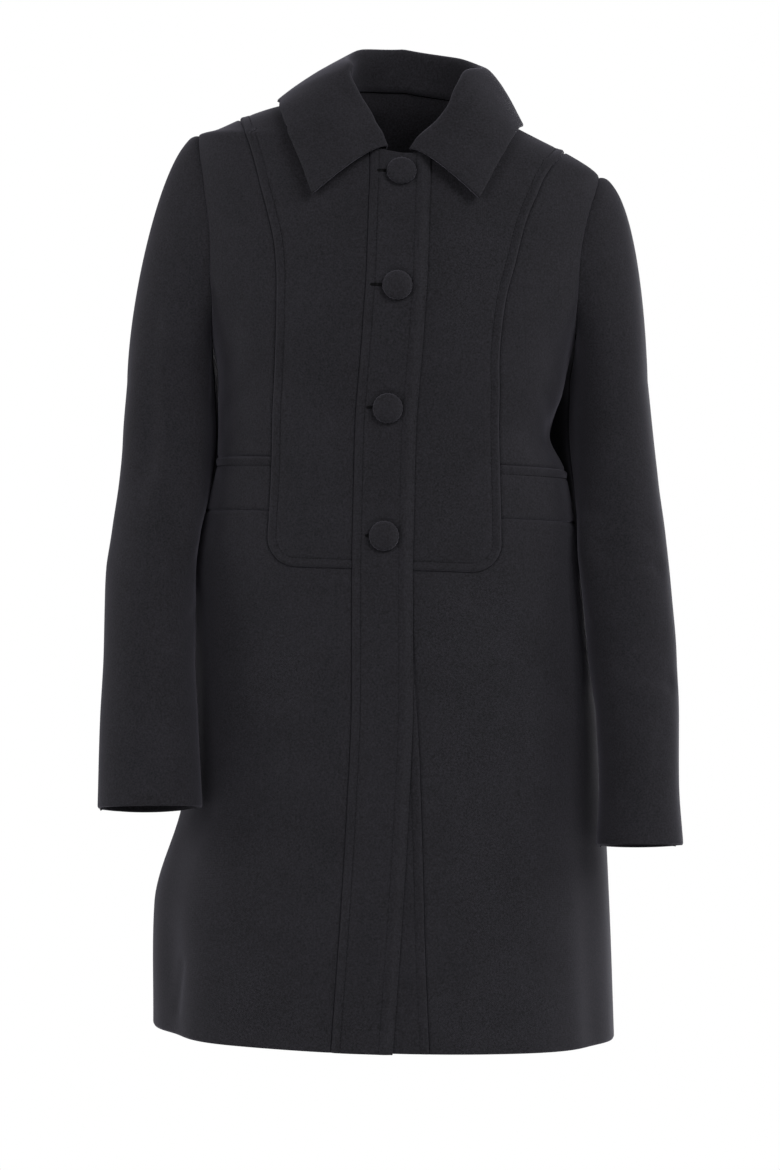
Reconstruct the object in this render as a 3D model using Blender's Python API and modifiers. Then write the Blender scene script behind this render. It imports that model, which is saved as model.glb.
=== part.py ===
"""Wool coat: a thigh-length, single-breasted coat in its worn, hollow form.

Each cut piece is one closed wall of cloth. Metres, +Z up, front towards -Y.
The origin lies between the two points where the shoulder seams meet the neck.
Tables are in millimetres. "drop" is the way down from the origin, and "right"
and "left" are the wearer's own sides, at -X and +X.
"""
import math

import bmesh
import bpy
import numpy as np
from mathutils import Vector

MM = 0.001
RIGHT = -1
LEFT = 1

# Cloth and clearances
CLOTH = 2.0 * MM
HALF_SEAM_GAP = 0.2 * MM
LAYER = CLOTH + 0.7 * MM
SLEEVE_GAP = 0.4 * MM
COLLAR_GAP = 1.1
WELD = 0.00001

# Main heights, in millimetres of drop
NECK_POINT = -2
SHOULDER_TIP = 48
ARMPIT = {RIGHT: 226, LEFT: 212}
BIB_TOP = 27
BAND_TOP = 331
BAND_FOOT = 379
BIB_FOOT = 428
BIB_CORNER = 26
HEM = 853
UNDERLAP_HEM = 852

# Armholes: half of their width as an angle about the upright axis of the body
ARMHOLE_HALF_ANGLE = math.radians(30)

# Plackets, in millimetres from the centre front, positive to the left
OVERLAP_SEAM = -28
OVERLAP_RISE_END = -19
OVERLAP_EDGE = 26
UNDERLAP_WIDTH = 40

# Buttons
BUTTON_DROPS = (73, 177, 285, 399)
BUTTON_RADIUS = 13.5 * MM
BUTTON_HEIGHT = 7.5 * MM
BUTTON_RIM = 1.6 * MM
BUTTON_GAP = 0.4 * MM
BUTTON_STEPS = 16
BUTTON_RINGS = 5

# Facets along each stretch of seam
BIB_LONG = 13
BIB_BAND = 2
BIB_ROUND = 4
BIB_BOTTOM = 6
BIB_ROWS = BIB_LONG + BIB_BAND + BIB_ROUND
NECK_FRONT = 7
SIDE_COLUMNS = 6
ARMHOLE_HALF = 9
SIDE_UPPER = 4
SKIRT_ROWS = 9
BACK_SHOULDER = 4
BACK_COLUMNS = 16
SLEEVE_CAP_ROWS = 6
SLEEVE_ARM_ROWS = 10
PLACKET_LINES = 4
COLLAR_AROUND = 30
COLLAR_STAND = 3
COLLAR_FALL = 6
DENSE = 200
SHARP_ANGLE = math.radians(50)

# Small steps that give the directions of a surface, and rounds of a search
ANGLE_STEP = 0.004
DROP_STEP = 0.5
SLEEVE_TURN_STEP = 0.02
SLEEVE_WAY_STEP = 0.001
AXIS_STEP = 2
COLLAR_TURN_STEP = 0.5
COLLAR_WAY_STEP = 0.01
PAST_END = 0.1
HALVINGS = 40
NECK_ROUNDS = 60

# Level sections through the body. Each is an oval: "centre" is the x of the
# centre front, "right" and "left" the way out to the sides, "front" and "back"
# the depth, "side" the y of the widest place, "full" how square the oval is,
# and "tilt" how far the section falls towards the left for each unit of x.
BODY_COLUMNS = ("drop", "tilt", "centre", "right", "left", "front", "back", "side", "full")
BODY_SECTIONS = (
    (-25, 0.100, 4, 52, 66, 42, 62, 2, 0.02),
    (-2, 0.102, 3, 58, 74, 52, 70, 2, 0.03),
    (13, 0.103, 3, 113, 109, 60, 76, 1, 0.04),
    (22, 0.104, 2, 134, 132, 65, 80, 0, 0.05),
    (31, 0.104, 2, 152, 154, 69, 83, 0, 0.06),
    (42, 0.104, 2, 172, 175, 74, 86, 0, 0.07),
    (48, 0.104, 1, 186, 182, 76, 88, 0, 0.08),
    (75, 0.080, 1, 193, 187, 88, 97, 0, 0.10),
    (100, 0.062, 0, 195, 188, 98, 104, 0, 0.10),
    (135, 0.054, -1, 193, 185, 110, 111, 0, 0.10),
    (165, 0.050, -2, 189, 180, 117, 114, 0, 0.10),
    (195, 0.047, -4, 178, 171, 121, 114, 0, 0.10),
    (224, 0.045, -6, 167, 163, 121, 110, 0, 0.10),
    (260, 0.042, -9, 158, 160, 117, 104, 0, 0.10),
    (298, 0.040, -12, 156, 154, 113, 99, 0, 0.10),
    (331, 0.037, -13, 155, 165, 111, 98, 2, 0.10),
    (379, 0.034, -14, 165, 175, 113, 103, 4, 0.09),
    (428, 0.030, -15, 174, 182, 117, 111, 6, 0.08),
    (540, 0.026, -15, 177, 197, 130, 127, 12, 0.06),
    (640, 0.022, -19, 181, 208, 141, 136, 18, 0.05),
    (740, 0.025, -25, 202, 219, 150, 144, 20, 0.05),
    (853, 0.034, -33, 195, 231, 159, 152, 20, 0.06),
)

# Largest folds of the body: soft hollows (negative) and ridges (positive),
# at an angle from the centre front, each with its half spans and depth.
FOLD_COLUMNS = ("angle", "drop", "half_angle", "half_drop", "depth")
BODY_FOLDS = (
    (82, 302, 24, 18, -4),
    (-86, 300, 26, 18, -1),
    (-62, 851, 9, 190, -5),
    (-44, 851, 11, 230, 4),
    (66, 851, 10, 260, -4),
    (150, 851, 12, 300, -7),
    (176, 851, 12, 330, 5),
    (207, 851, 12, 280, -6),
)

# Neck seam, read by a turn of 0 at the centre front, 90 at the shoulder seam
# and 180 at the centre back: its angle and drop on the body
NECK_COLUMNS = ("turn", "angle", "drop")
NECKLINE = (
    (0, 0, 55),
    (15, 5.5, 53),
    (30, 10.5, 46),
    (45, 15.5, 34),
    (60, 23, 19),
    (75, 40, 6),
    (90, 90, -2),
    (130, 130, -14),
    (180, 180, -20),
)

# Bib seam: the way out from the centre front on each side
BIB_COLUMNS = ("drop", "right", "left")
BIB_SEAM = (
    (27, 150, 150),
    (60, 136, 130),
    (85, 128, 121),
    (113, 119, 112),
    (145, 111, 105),
    (185, 107, 97),
    (225, 105, 95),
    (275, 103, 99),
    (331, 102, 102),
    (402, 104, 105),
)

# Seam of the left placket: the way out from the centre front
UNDERLAP_COLUMNS = ("drop", "out")
UNDERLAP_SEAM = ((50, 22), (428, 23), (518, 27), (600, 34), (684, 41), (762, 48), (851, 58))

# Rings of each sleeve from the upper arm down to the cuff, square to its axis.
# "tuck" is how far the inner back of a ring falls in towards the body.
SLEEVE_COLUMNS = ("drop", "x", "y", "half_width", "half_depth", "tuck")
SLEEVE_RINGS = {
    RIGHT: (
        (256, -212, 4, 39, 61, 19),
        (310, -213, 4, 42, 59, 19),
        (355, -216, -4, 42, 57, 9),
        (400, -223, -20, 40, 54, 4),
        (450, -226.5, -40, 41.5, 51, 0),
        (500, -226.5, -54, 41.5, 49, 0),
        (560, -226, -69, 44, 48, 0),
        (641, -224, -86, 47, 47, 0),
    ),
    LEFT: (
        (256, 193, 4, 35, 61, 18),
        (300, 195.5, 4, 37, 59, 34),
        (355, 199, -2, 39, 57, 15),
        (400, 203.5, -16, 39.5, 54, 9),
        (450, 206.5, -33, 40.5, 51, 0),
        (500, 210.5, -43, 40.5, 49, 0),
        (560, 214.5, -56, 37.5, 47, 0),
        (620, 215, -68, 36, 46, 0),
        (675, 215, -78, 39, 45, 0),
    ),
}
CAP_REACH = (48, 42)
CAP_FALL = (130, 108)
CAP_DIP = 10
TUCK_TURN = 228
TUCK_HALF_TURN = 32

# Largest creases of the sleeves, at a turn from the outer side towards the front
CREASE_COLUMNS = ("drop", "turn", "half_drop", "half_turn", "depth")
SLEEVE_CREASES = {
    RIGHT: ((300, 138, 42, 24, 5), (330, 70, 60, 18, -5), (388, 198, 46, 24, -7), (392, 142, 40, 24, 8), (520, 250, 22, 45, -4)),
    LEFT: ((372, 200, 46, 24, -5), (410, 147, 38, 26, 8), (520, 60, 22, 45, -4), (470, 255, 24, 45, -4)),
}

# Collar sections around the neck on each side: the rise of the roll line above
# the neck seam, its lean back and its shift in towards the centre front, how far
# the fall first sweeps aside, and where the outer edge comes down on the body: its
# angle, its drop and its clearance. The pulls, reach and belly round the stand,
# the roll and the fall.
COLLAR_COLUMNS = ("turn", "rise", "lean", "inward", "sweep", "edge_angle", "edge_drop", "clear")
COLLAR_SECTIONS = {
    RIGHT: (
        (10.5, 3.5, 2, 0.5, 15, 21.2, 101, 9.0),
        (20, 14, 6, 6.5, 9, 26.0, 69, 8.0),
        (32, 20, 10, 9, 2, 31.7, 46, 6.5),
        (36, 21.6, 10.6, 8.8, 0, 35.7, 41, 6.0),
        (42, 24, 11.5, 7.5, 0, 40.1, 34.5, 5.3),
        (48, 26, 12, 6, 0, 44.8, 29, 4.8),
        (66, 30, 12, 2, 0, 62, 17.5, 3.6),
        (90, 35, 11, 0, 0, 90, 12.5, 3.0),
        (130, 37, 9, 0, 0, 133, 9, 3.0),
        (180, 38, 9, 0, 0, 180, 6, 3.0),
    ),
    LEFT: (
        (10.5, 3.5, 1, 6, 14, 19.4, 96, 9.0),
        (20, 14, 3, 8.5, 8, 23.8, 66, 8.0),
        (32, 20, 4, 8, 1, 28.4, 45, 6.5),
        (40, 23.5, 3.5, 5.5, 0, 33.4, 36, 5.6),
        (48, 27, 3, 3, 0, 39.3, 29, 4.8),
        (66, 34, 3, 0, 0, 59, 17.5, 3.6),
        (90, 39, 4, 0, 0, 90, 11.5, 3.0),
        (130, 38.5, 8, 0, 0, 133, 9, 3.0),
        (180, 38, 9, 0, 0, 180, 6, 3.0),
    ),
}
COLLAR_ROLL = 5
STAND_PULL = 0.5
ROLL_PULL = 1.5
FALL_REACH = 24
FALL_BELLY = 7

# Black melton wool, and the same cloth on the buttons
WOOL_COLOUR = (0.0185, 0.0180, 0.0205, 1.0)
WOOL_ROUGHNESS = 0.92
BUTTON_COLOUR = (0.0165, 0.0160, 0.0180, 1.0)
BUTTON_ROUGHNESS = 0.9


def table(names, rows):
    """Turn the rows of a table into one array for each named column."""
    return dict(zip(names, np.array(rows, dtype=float).T))


BODY = table(BODY_COLUMNS, BODY_SECTIONS)
FOLDS = table(FOLD_COLUMNS, BODY_FOLDS)
NECK = table(NECK_COLUMNS, NECKLINE)
BIB = table(BIB_COLUMNS, BIB_SEAM)
UNDERLAP = table(UNDERLAP_COLUMNS, UNDERLAP_SEAM)
COLLAR = {side: table(COLLAR_COLUMNS, rows) for side, rows in COLLAR_SECTIONS.items()}
SLEEVE = {side: table(SLEEVE_COLUMNS, rows) for side, rows in SLEEVE_RINGS.items()}
CREASES = {side: table(CREASE_COLUMNS, rows) for side, rows in SLEEVE_CREASES.items()}


def through(x, y, at):
    """Read a smooth curve through the points (x, y), which never overshoots them."""
    steps = np.diff(y) / np.diff(x)
    before, after = steps[:-1], steps[1:]
    same_way = before * after > 0
    total = np.where(same_way, before + after, 1)
    middle = np.where(same_way, 2 * before * after / total, 0)
    slope = np.concatenate((steps[:1], middle, steps[-1:]))
    at = np.clip(at, x[0], x[-1])
    row = np.clip(np.searchsorted(x, at) - 1, 0, len(x) - 2)
    span = x[row + 1] - x[row]
    t = (at - x[row]) / span
    near = y[row] * (1 + 2 * t) + slope[row] * span * t
    far = y[row + 1] * (3 - 2 * t) - slope[row + 1] * span * (1 - t)
    return near * (1 - t) ** 2 + far * t ** 2


def unit(vectors):
    """Scale vectors to a length of one."""
    return vectors / np.linalg.norm(vectors, axis=-1, keepdims=True)


def body(angle, drop):
    """Outside of the body at angles from the centre front and drops."""
    angle, drop = np.broadcast_arrays(np.asarray(angle, dtype=float), np.asarray(drop, dtype=float))
    row = {name: through(BODY["drop"], BODY[name], drop) for name in BODY_COLUMNS[1:]}
    sine = np.sin(angle)
    cosine = np.cos(angle)
    reach = np.where(sine < 0, row["right"], row["left"])
    depth = np.where(cosine > 0, row["front"] + row["side"], row["back"] - row["side"])
    x = row["centre"] + reach * sine * (1 + row["full"] * cosine ** 2)
    y = row["side"] - depth * cosine * (1 + row["full"] * sine ** 2)
    fold = 0
    for at, level, half_angle, half_drop, deep in zip(*(FOLDS[name] for name in FOLD_COLUMNS)):
        around = (np.degrees(angle) - at + 180) % 360 - 180
        fold = fold + deep * np.exp(-(around / half_angle) ** 2 - ((drop - level) / half_drop) ** 2)
    x = x + fold * sine
    y = y - fold * cosine
    z = -drop - row["tilt"] * x
    return np.stack((x, y, z), axis=-1) * MM


def normals(surface, across, down, across_step, down_step):
    """Outward directions of a surface of two coordinates."""
    sideways = surface(across + across_step, down) - surface(across - across_step, down)
    downwards = surface(across, down + down_step) - surface(across, down - down_step)
    return unit(np.cross(downwards, sideways))


def body_normals(angle, drop):
    """Outward directions of the body."""
    return normals(body, angle, drop, ANGLE_STEP, DROP_STEP)


def angle_at(out, drop):
    """Angle of the point that lies a given way out from the centre front."""
    out, drop = np.broadcast_arrays(np.asarray(out, dtype=float), np.asarray(drop, dtype=float))
    reach = np.where(out < 0, *(through(BODY["drop"], BODY[side], drop) for side in ("right", "left")))
    full = through(BODY["drop"], BODY["full"], drop)
    ratio = np.minimum(np.abs(out) / reach, 1)
    low = np.zeros_like(ratio)
    high = np.full_like(ratio, math.pi / 2)
    for _ in range(HALVINGS):
        middle = (low + high) / 2
        inside = np.sin(middle) * (1 + full * np.cos(middle) ** 2) < ratio
        low = np.where(inside, middle, low)
        high = np.where(inside, high, middle)
    angle = np.where(ratio >= 1, math.pi / 2, high)
    return np.sign(out) * angle


def places(angle, drop):
    """Pair angles with drops, one row for each place."""
    pair = np.broadcast_arrays(np.asarray(angle, dtype=float), np.asarray(drop, dtype=float))
    return np.stack(pair, axis=-1)


def evenly(path, count):
    """Divide a path on the body into equal lengths."""
    points = body(path[:, 0], path[:, 1])
    lengths = np.linalg.norm(np.diff(points, axis=0), axis=1)
    along = np.concatenate(([0], np.cumsum(lengths)))
    wanted = np.linspace(0, along[-1], count + 1)
    return np.stack([np.interp(wanted, along, path[:, column]) for column in (0, 1)], axis=-1)


def chain(*paths):
    """Join paths end to end."""
    return np.concatenate([paths[0]] + [path[1:] for path in paths[1:]])


def down_line(out_at, top, foot, count):
    """Seam that runs down the front, at the way out that out_at gives."""
    drop = np.linspace(top, foot, DENSE)
    return evenly(places(angle_at(out_at(drop), drop), drop), count)


def neck_place(turn):
    """Places on the neck seam at turns in degrees, from -180 to 360."""
    turn = np.asarray(turn, dtype=float)
    around = (turn + 180) % 360 - 180
    angle = np.radians(through(NECK["turn"], NECK["angle"], np.abs(around)))
    drop = through(NECK["turn"], NECK["drop"], np.abs(around))
    return places(np.where(around < 0, np.where(turn > 180, math.tau - angle, -angle), angle), drop)


def neck_line(start, end, count):
    """Neck seam between two turns."""
    return evenly(neck_place(np.linspace(start, end, DENSE)), count)


def side_line(angle, top, foot, count):
    """Seam that runs down at one angle, as the side and shoulder seams do."""
    return evenly(places(angle, np.linspace(top, foot, DENSE)), count)


def level_line(start, end, drop, count):
    """Seam at one height between two angles."""
    return evenly(places(np.linspace(start, end, DENSE), drop), count)


def armhole(side, turn):
    """Places on an armhole, turning from the shoulder tip to the front."""
    middle = (SHOULDER_TIP + ARMPIT[side]) / 2
    half = (ARMPIT[side] - SHOULDER_TIP) / 2
    angle = side * (math.pi / 2 - ARMHOLE_HALF_ANGLE * np.sin(turn))
    return places(angle, middle - half * np.cos(turn))


def bib_seam(side):
    """Bib seam in its four stretches, from the shoulder to the placket."""
    name = "right" if side == RIGHT else "left"

    def out_at(drop):
        return side * through(BIB["drop"], BIB[name], drop)

    def stretch(top, foot, count):
        fraction = np.linspace(0, 1, DENSE) ** 2
        drop = top + (foot - top) * fraction
        return evenly(places(angle_at(out_at(drop), drop), drop), count)

    def corner(start, end):
        turn = np.radians(np.linspace(start, end, DENSE))
        out = np.abs(out_at(BIB_FOOT - BIB_CORNER)) - BIB_CORNER * (1 - np.cos(turn))
        drop = BIB_FOOT - BIB_CORNER * (1 - np.sin(turn))
        return places(angle_at(side * out, drop), drop)

    straight = np.linspace(BAND_FOOT, BIB_FOOT - BIB_CORNER, DENSE)
    lower = places(angle_at(out_at(straight), straight), straight)
    inner = OVERLAP_SEAM if side == RIGHT else underlap_out(BIB_FOOT)
    last = corner(45, 90)
    flat = np.linspace(last[-1, 0], angle_at(inner, BIB_FOOT), DENSE)
    bottom = places(flat, BIB_FOOT)
    return (
        stretch(BIB_TOP, BAND_TOP, BIB_LONG),
        down_line(out_at, BAND_TOP, BAND_FOOT, BIB_BAND),
        evenly(chain(lower, corner(0, 45)), BIB_ROUND),
        evenly(chain(last, bottom), BIB_BOTTOM),
    )


def underlap_out(drop):
    """Way out to the seam of the left placket."""
    return through(UNDERLAP["drop"], UNDERLAP["out"], drop)


def placket_out(side):
    """Way out to the seam between a placket and the panels beside it."""
    if side == RIGHT:
        return lambda drop: np.full_like(np.asarray(drop, dtype=float), OVERLAP_SEAM)
    return underlap_out


def neck_meets(out_at):
    """Turn and drop where a line down the front meets the neck seam."""
    turn = 0.0
    for _ in range(NECK_ROUNDS):
        place = neck_place(turn)
        wanted = np.degrees(angle_at(out_at(place[1]), place[1]))
        turn = turn + (wanted - np.degrees(place[0]))
    return float(turn), float(neck_place(turn)[1])


def patch(top, foot, start, end):
    """Fill the area between four edges with evenly blended places."""
    u = np.linspace(0, 1, len(top))[None, :, None]
    w = np.linspace(0, 1, len(start))[:, None, None]
    ruled = (1 - w) * top[None] + w * foot[None] + (1 - u) * start[:, None] + u * end[:, None]
    upper = (1 - u) * top[0] + u * top[-1]
    lower = (1 - u) * foot[0] + u * foot[-1]
    return ruled - (1 - w) * upper - w * lower


def draw_in(points, outward):
    """Draw the edges of a panel in by half a seam gap, in the plane of the cloth."""
    rows, columns = points.shape[:2]
    index = np.arange(rows * columns).reshape(rows, columns)
    loop = np.concatenate((index[0, :-1], index[:-1, -1], index[-1, :0:-1], index[:0:-1, 0]))
    flat = points.reshape(-1, 3).copy()
    ring = flat[loop]
    along = np.roll(ring, -1, axis=0) - np.roll(ring, 1, axis=0)
    inward = unit(np.cross(along, outward.reshape(-1, 3)[loop]))
    towards_middle = np.sum(inward * (flat.mean(axis=0) - ring))
    flat[loop] = ring + inward * math.copysign(HALF_SEAM_GAP, towards_middle)
    return flat.reshape(points.shape)


def wool(name, colour, roughness):
    """Plain cloth material for one piece."""
    material = bpy.data.materials.new(name)
    material.use_nodes = True
    shader = material.node_tree.nodes["Principled BSDF"]
    shader.inputs["Base Color"].default_value = colour
    shader.inputs["Roughness"].default_value = roughness
    shader.inputs["Metallic"].default_value = 0
    return material


def add_object(name, mesh, colour, roughness):
    """Put a mesh into the coat's collection with its own material."""
    mesh.materials.append(wool(name + "_cloth", colour, roughness))
    item = bpy.data.objects.new(name, mesh)
    coat.objects.link(item)
    return item


def cloth(name, face, lining, tube=False):
    """Make one closed wall of cloth from the points of its two sides."""
    rows, columns = face.shape[:2]
    bm = bmesh.new()
    bmesh.ops.create_grid(bm, x_segments=columns - 1, y_segments=rows - 1, size=1)
    station = bm.verts.layers.int.new("station")
    for vert in bm.verts:
        column = round((vert.co.x + 1) / 2 * (columns - 1))
        row = round((vert.co.y + 1) / 2 * (rows - 1))
        vert[station] = row * columns + column
        vert.co = face[row, column]
    if tube:
        bmesh.ops.remove_doubles(bm, verts=bm.verts[:], dist=WELD)
    second_side = bmesh.ops.extrude_face_region(bm, geom=bm.faces[:])["geom"]
    for item in second_side:
        if isinstance(item, bmesh.types.BMVert):
            item.co = lining[divmod(item[station], columns)]
    bmesh.ops.recalc_face_normals(bm, faces=bm.faces[:])
    if bm.calc_volume(signed=True) < 0:
        bmesh.ops.reverse_faces(bm, faces=bm.faces[:])
    mesh = bpy.data.meshes.new(name)
    bm.to_mesh(mesh)
    bm.free()
    mesh.shade_smooth()
    mesh.set_sharp_from_angle(angle=SHARP_ANGLE)
    return add_object(name, mesh, WOOL_COLOUR, WOOL_ROUGHNESS)


def panel(name, grid, lift=0):
    """Make a cut panel that lies on the body, lifted where it covers another."""
    outward = body_normals(grid[..., 0], grid[..., 1])
    face = body(grid[..., 0], grid[..., 1]) + outward * np.asarray(lift)[..., None]
    face = draw_in(face, outward)
    cloth(name, face, face - outward * CLOTH)


def side_word(side):
    """Ending of a piece's name."""
    return "right" if side == RIGHT else "left"


def make_fronts(side):
    """Bib, side front, waistband and skirt of one front."""
    word = side_word(side)
    edge = side * math.pi / 2
    long, beside_band, rounded, bottom = bib_seam(side)
    seam_out = placket_out(side)
    neck_turn, neck_drop = neck_meets(seam_out)
    neck = neck_line(side * 90, neck_turn, NECK_FRONT)
    shoulder = side_line(edge, NECK_POINT, BIB_TOP, BIB_BOTTOM)
    inner = down_line(seam_out, neck_drop, BIB_FOOT, BIB_ROWS - NECK_FRONT)
    outer = chain(long, beside_band, rounded)
    panel("bib_" + word, patch(shoulder, bottom[::-1], chain(neck, inner), outer))

    shoulder = side_line(edge, BIB_TOP, SHOULDER_TIP, SIDE_COLUMNS)
    scye = armhole(side, np.linspace(0, math.pi, ARMHOLE_HALF + 1))
    side_seam = side_line(edge, ARMPIT[side], BAND_TOP, SIDE_UPPER)
    band_top = level_line(long[-1, 0], edge, BAND_TOP, SIDE_COLUMNS)
    panel("side_front_" + word, patch(shoulder, band_top, long, chain(scye, side_seam)))

    band_foot = level_line(beside_band[-1, 0], edge, BAND_FOOT, SIDE_COLUMNS)
    side_seam = side_line(edge, BAND_TOP, BAND_FOOT, BIB_BAND)
    panel("waistband_" + word, patch(band_top, band_foot, beside_band, side_seam))

    hem_start = angle_at(seam_out(HEM), HEM)
    top = chain(bottom[::-1], rounded[::-1], band_foot)
    hem_drop = HEM if side == RIGHT else UNDERLAP_HEM
    hem = level_line(hem_start, edge, hem_drop, len(top) - 1)
    inner = down_line(seam_out, BIB_FOOT, hem_drop, SKIRT_ROWS)
    outer = side_line(edge, BAND_FOOT, hem_drop, SKIRT_ROWS)
    hem[0] = inner[-1]
    panel("skirt_front_" + word, patch(top, hem, inner, outer))


def make_placket(name, outs, foot, lift):
    """Placket between two lines down the front, in even columns."""
    columns = []
    for out_at in outs:
        upper = down_line(out_at, neck_meets(out_at)[1], BIB_FOOT, BIB_ROWS)
        columns.append(chain(upper, down_line(out_at, BIB_FOOT, foot, SKIRT_ROWS)))
    grid = np.stack(columns, axis=1)
    panel(name, grid, np.broadcast_to(np.asarray(lift), grid.shape[:2]))


def make_plackets():
    """Right placket on top, left placket below it."""
    raised = np.linspace(OVERLAP_RISE_END, OVERLAP_EDGE, PLACKET_LINES)
    ways = np.concatenate(([OVERLAP_SEAM], raised))
    outs = [lambda drop, way=way: np.full_like(np.asarray(drop, dtype=float), way) for way in ways]
    make_placket("placket_right", outs, HEM, np.where(ways > OVERLAP_SEAM, LAYER, 0))
    shares = np.linspace(-UNDERLAP_WIDTH, 0, PLACKET_LINES)
    outs = [lambda drop, share=share: underlap_out(drop) + share for share in shares]
    make_placket("placket_left", outs, UNDERLAP_HEM, np.zeros(len(shares)))


def make_back():
    """Plain back from side seam to side seam."""
    left_edge = math.pi / 2
    right_edge = 3 * math.pi / 2
    neck = neck_line(90, 270, BACK_COLUMNS)
    hem = level_line(left_edge, right_edge, HEM, BACK_COLUMNS)
    turns = np.linspace(math.tau, math.pi, ARMHOLE_HALF + 1)
    edges = []
    for side, edge in ((LEFT, left_edge), (RIGHT, right_edge)):
        shoulder = side_line(edge, NECK_POINT, SHOULDER_TIP, BACK_SHOULDER)
        scye = armhole(side, turns)
        scye[:, 0] = scye[:, 0] % math.tau
        upper = side_line(edge, ARMPIT[side], BAND_TOP, SIDE_UPPER)
        band = side_line(edge, BAND_TOP, BAND_FOOT, BIB_BAND)
        lower = side_line(edge, BAND_FOOT, HEM, SKIRT_ROWS)
        edges.append(chain(shoulder, scye, upper, band, lower))
    panel("back", patch(neck, hem, *edges))


def sleeve_axis(side, drop):
    """Middle of the sleeve at drops along it."""
    rings = SLEEVE[side]
    x = through(rings["drop"], rings["x"], drop)
    y = through(rings["drop"], rings["y"], drop)
    return np.stack((x, y, -drop), axis=-1) * MM


def sleeve_way(side, drop):
    """Direction in which the sleeve runs down."""
    return unit(sleeve_axis(side, drop + AXIS_STEP) - sleeve_axis(side, drop - AXIS_STEP))


def sleeve_ring(side, turn, drop):
    """Points on the rings below the upper arm."""
    rings = SLEEVE[side]
    axis = sleeve_way(side, drop)
    outer = np.array((side, 0, 0))
    outer = unit(outer - axis * np.sum(axis * outer, axis=-1, keepdims=True))
    fore = side * np.cross(axis, outer)
    crease = 0
    for level, at, half_drop, half_turn, deep in zip(*(CREASES[side][name] for name in CREASE_COLUMNS)):
        around = (np.degrees(turn) - at + 180) % 360 - 180
        crease = crease + deep * np.exp(-((drop - level) / half_drop) ** 2 - (around / half_turn) ** 2)
    half_width = (through(rings["drop"], rings["half_width"], drop) + crease) * MM
    half_depth = (through(rings["drop"], rings["half_depth"], drop) + crease) * MM
    wide = outer * (half_width * np.cos(turn))[..., None]
    deep = fore * (half_depth * np.sin(turn))[..., None]
    around = (np.degrees(turn) - TUCK_TURN + 180) % 360 - 180
    tuck = through(rings["drop"], rings["tuck"], drop) * np.exp(-(around / TUCK_HALF_TURN) ** 2)
    return sleeve_axis(side, drop) + wide + deep - outer * (tuck * MM)[..., None]


def sleeve_surface(side):
    """Sleeve as a surface of turn and way: 0 to 1 over the cap, 1 to 2 down the arm."""
    first, last = SLEEVE[side]["drop"][[0, -1]]

    def surface(turn, way):
        turn, way = np.broadcast_arrays(np.asarray(turn, dtype=float), np.asarray(way, dtype=float))
        scye = armhole(side, turn)
        start = body(scye[..., 0], scye[..., 1])
        out = np.array((side, 0, 0)) * MM
        start = start + out / MM * SLEEVE_GAP
        drop = np.maximum(first, first + (last - first) * (way - 1))
        ring = sleeve_ring(side, turn, drop)
        axis = sleeve_way(side, drop) * MM
        swing = np.cos(turn)[..., None]
        leave = out * (CAP_REACH[0] + CAP_REACH[1] * swing)
        leave = leave - np.array((0, 0, CAP_DIP)) * MM * np.maximum(0, -swing)
        arrive = axis * (CAP_FALL[0] + CAP_FALL[1] * swing)
        t = np.clip(way, -PAST_END, 1)[..., None]
        near = start * (1 + 2 * t) + leave * t
        far = ring * (3 - 2 * t) - arrive * (1 - t)
        return np.where(way[..., None] < 1, near * (1 - t) ** 2 + far * t ** 2, ring)

    return surface


def make_sleeve(side):
    """Sleeve from the armhole to the cuff."""
    surface = sleeve_surface(side)
    turns = np.linspace(0, math.tau, 2 * ARMHOLE_HALF + 1)
    cap = np.linspace(0, 1, SLEEVE_CAP_ROWS + 1)
    ways = np.concatenate((cap, np.linspace(1, 2, SLEEVE_ARM_ROWS + 1)[1:]))
    turn, way = np.meshgrid(turns, ways)
    face = surface(turn, way)
    inside_end = np.minimum(way, ways[-1] - SLEEVE_WAY_STEP)
    outward = normals(surface, turn, inside_end, SLEEVE_TURN_STEP, SLEEVE_WAY_STEP) * -side
    cloth("sleeve_" + side_word(side), face, face - outward * CLOTH, tube=True)


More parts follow.
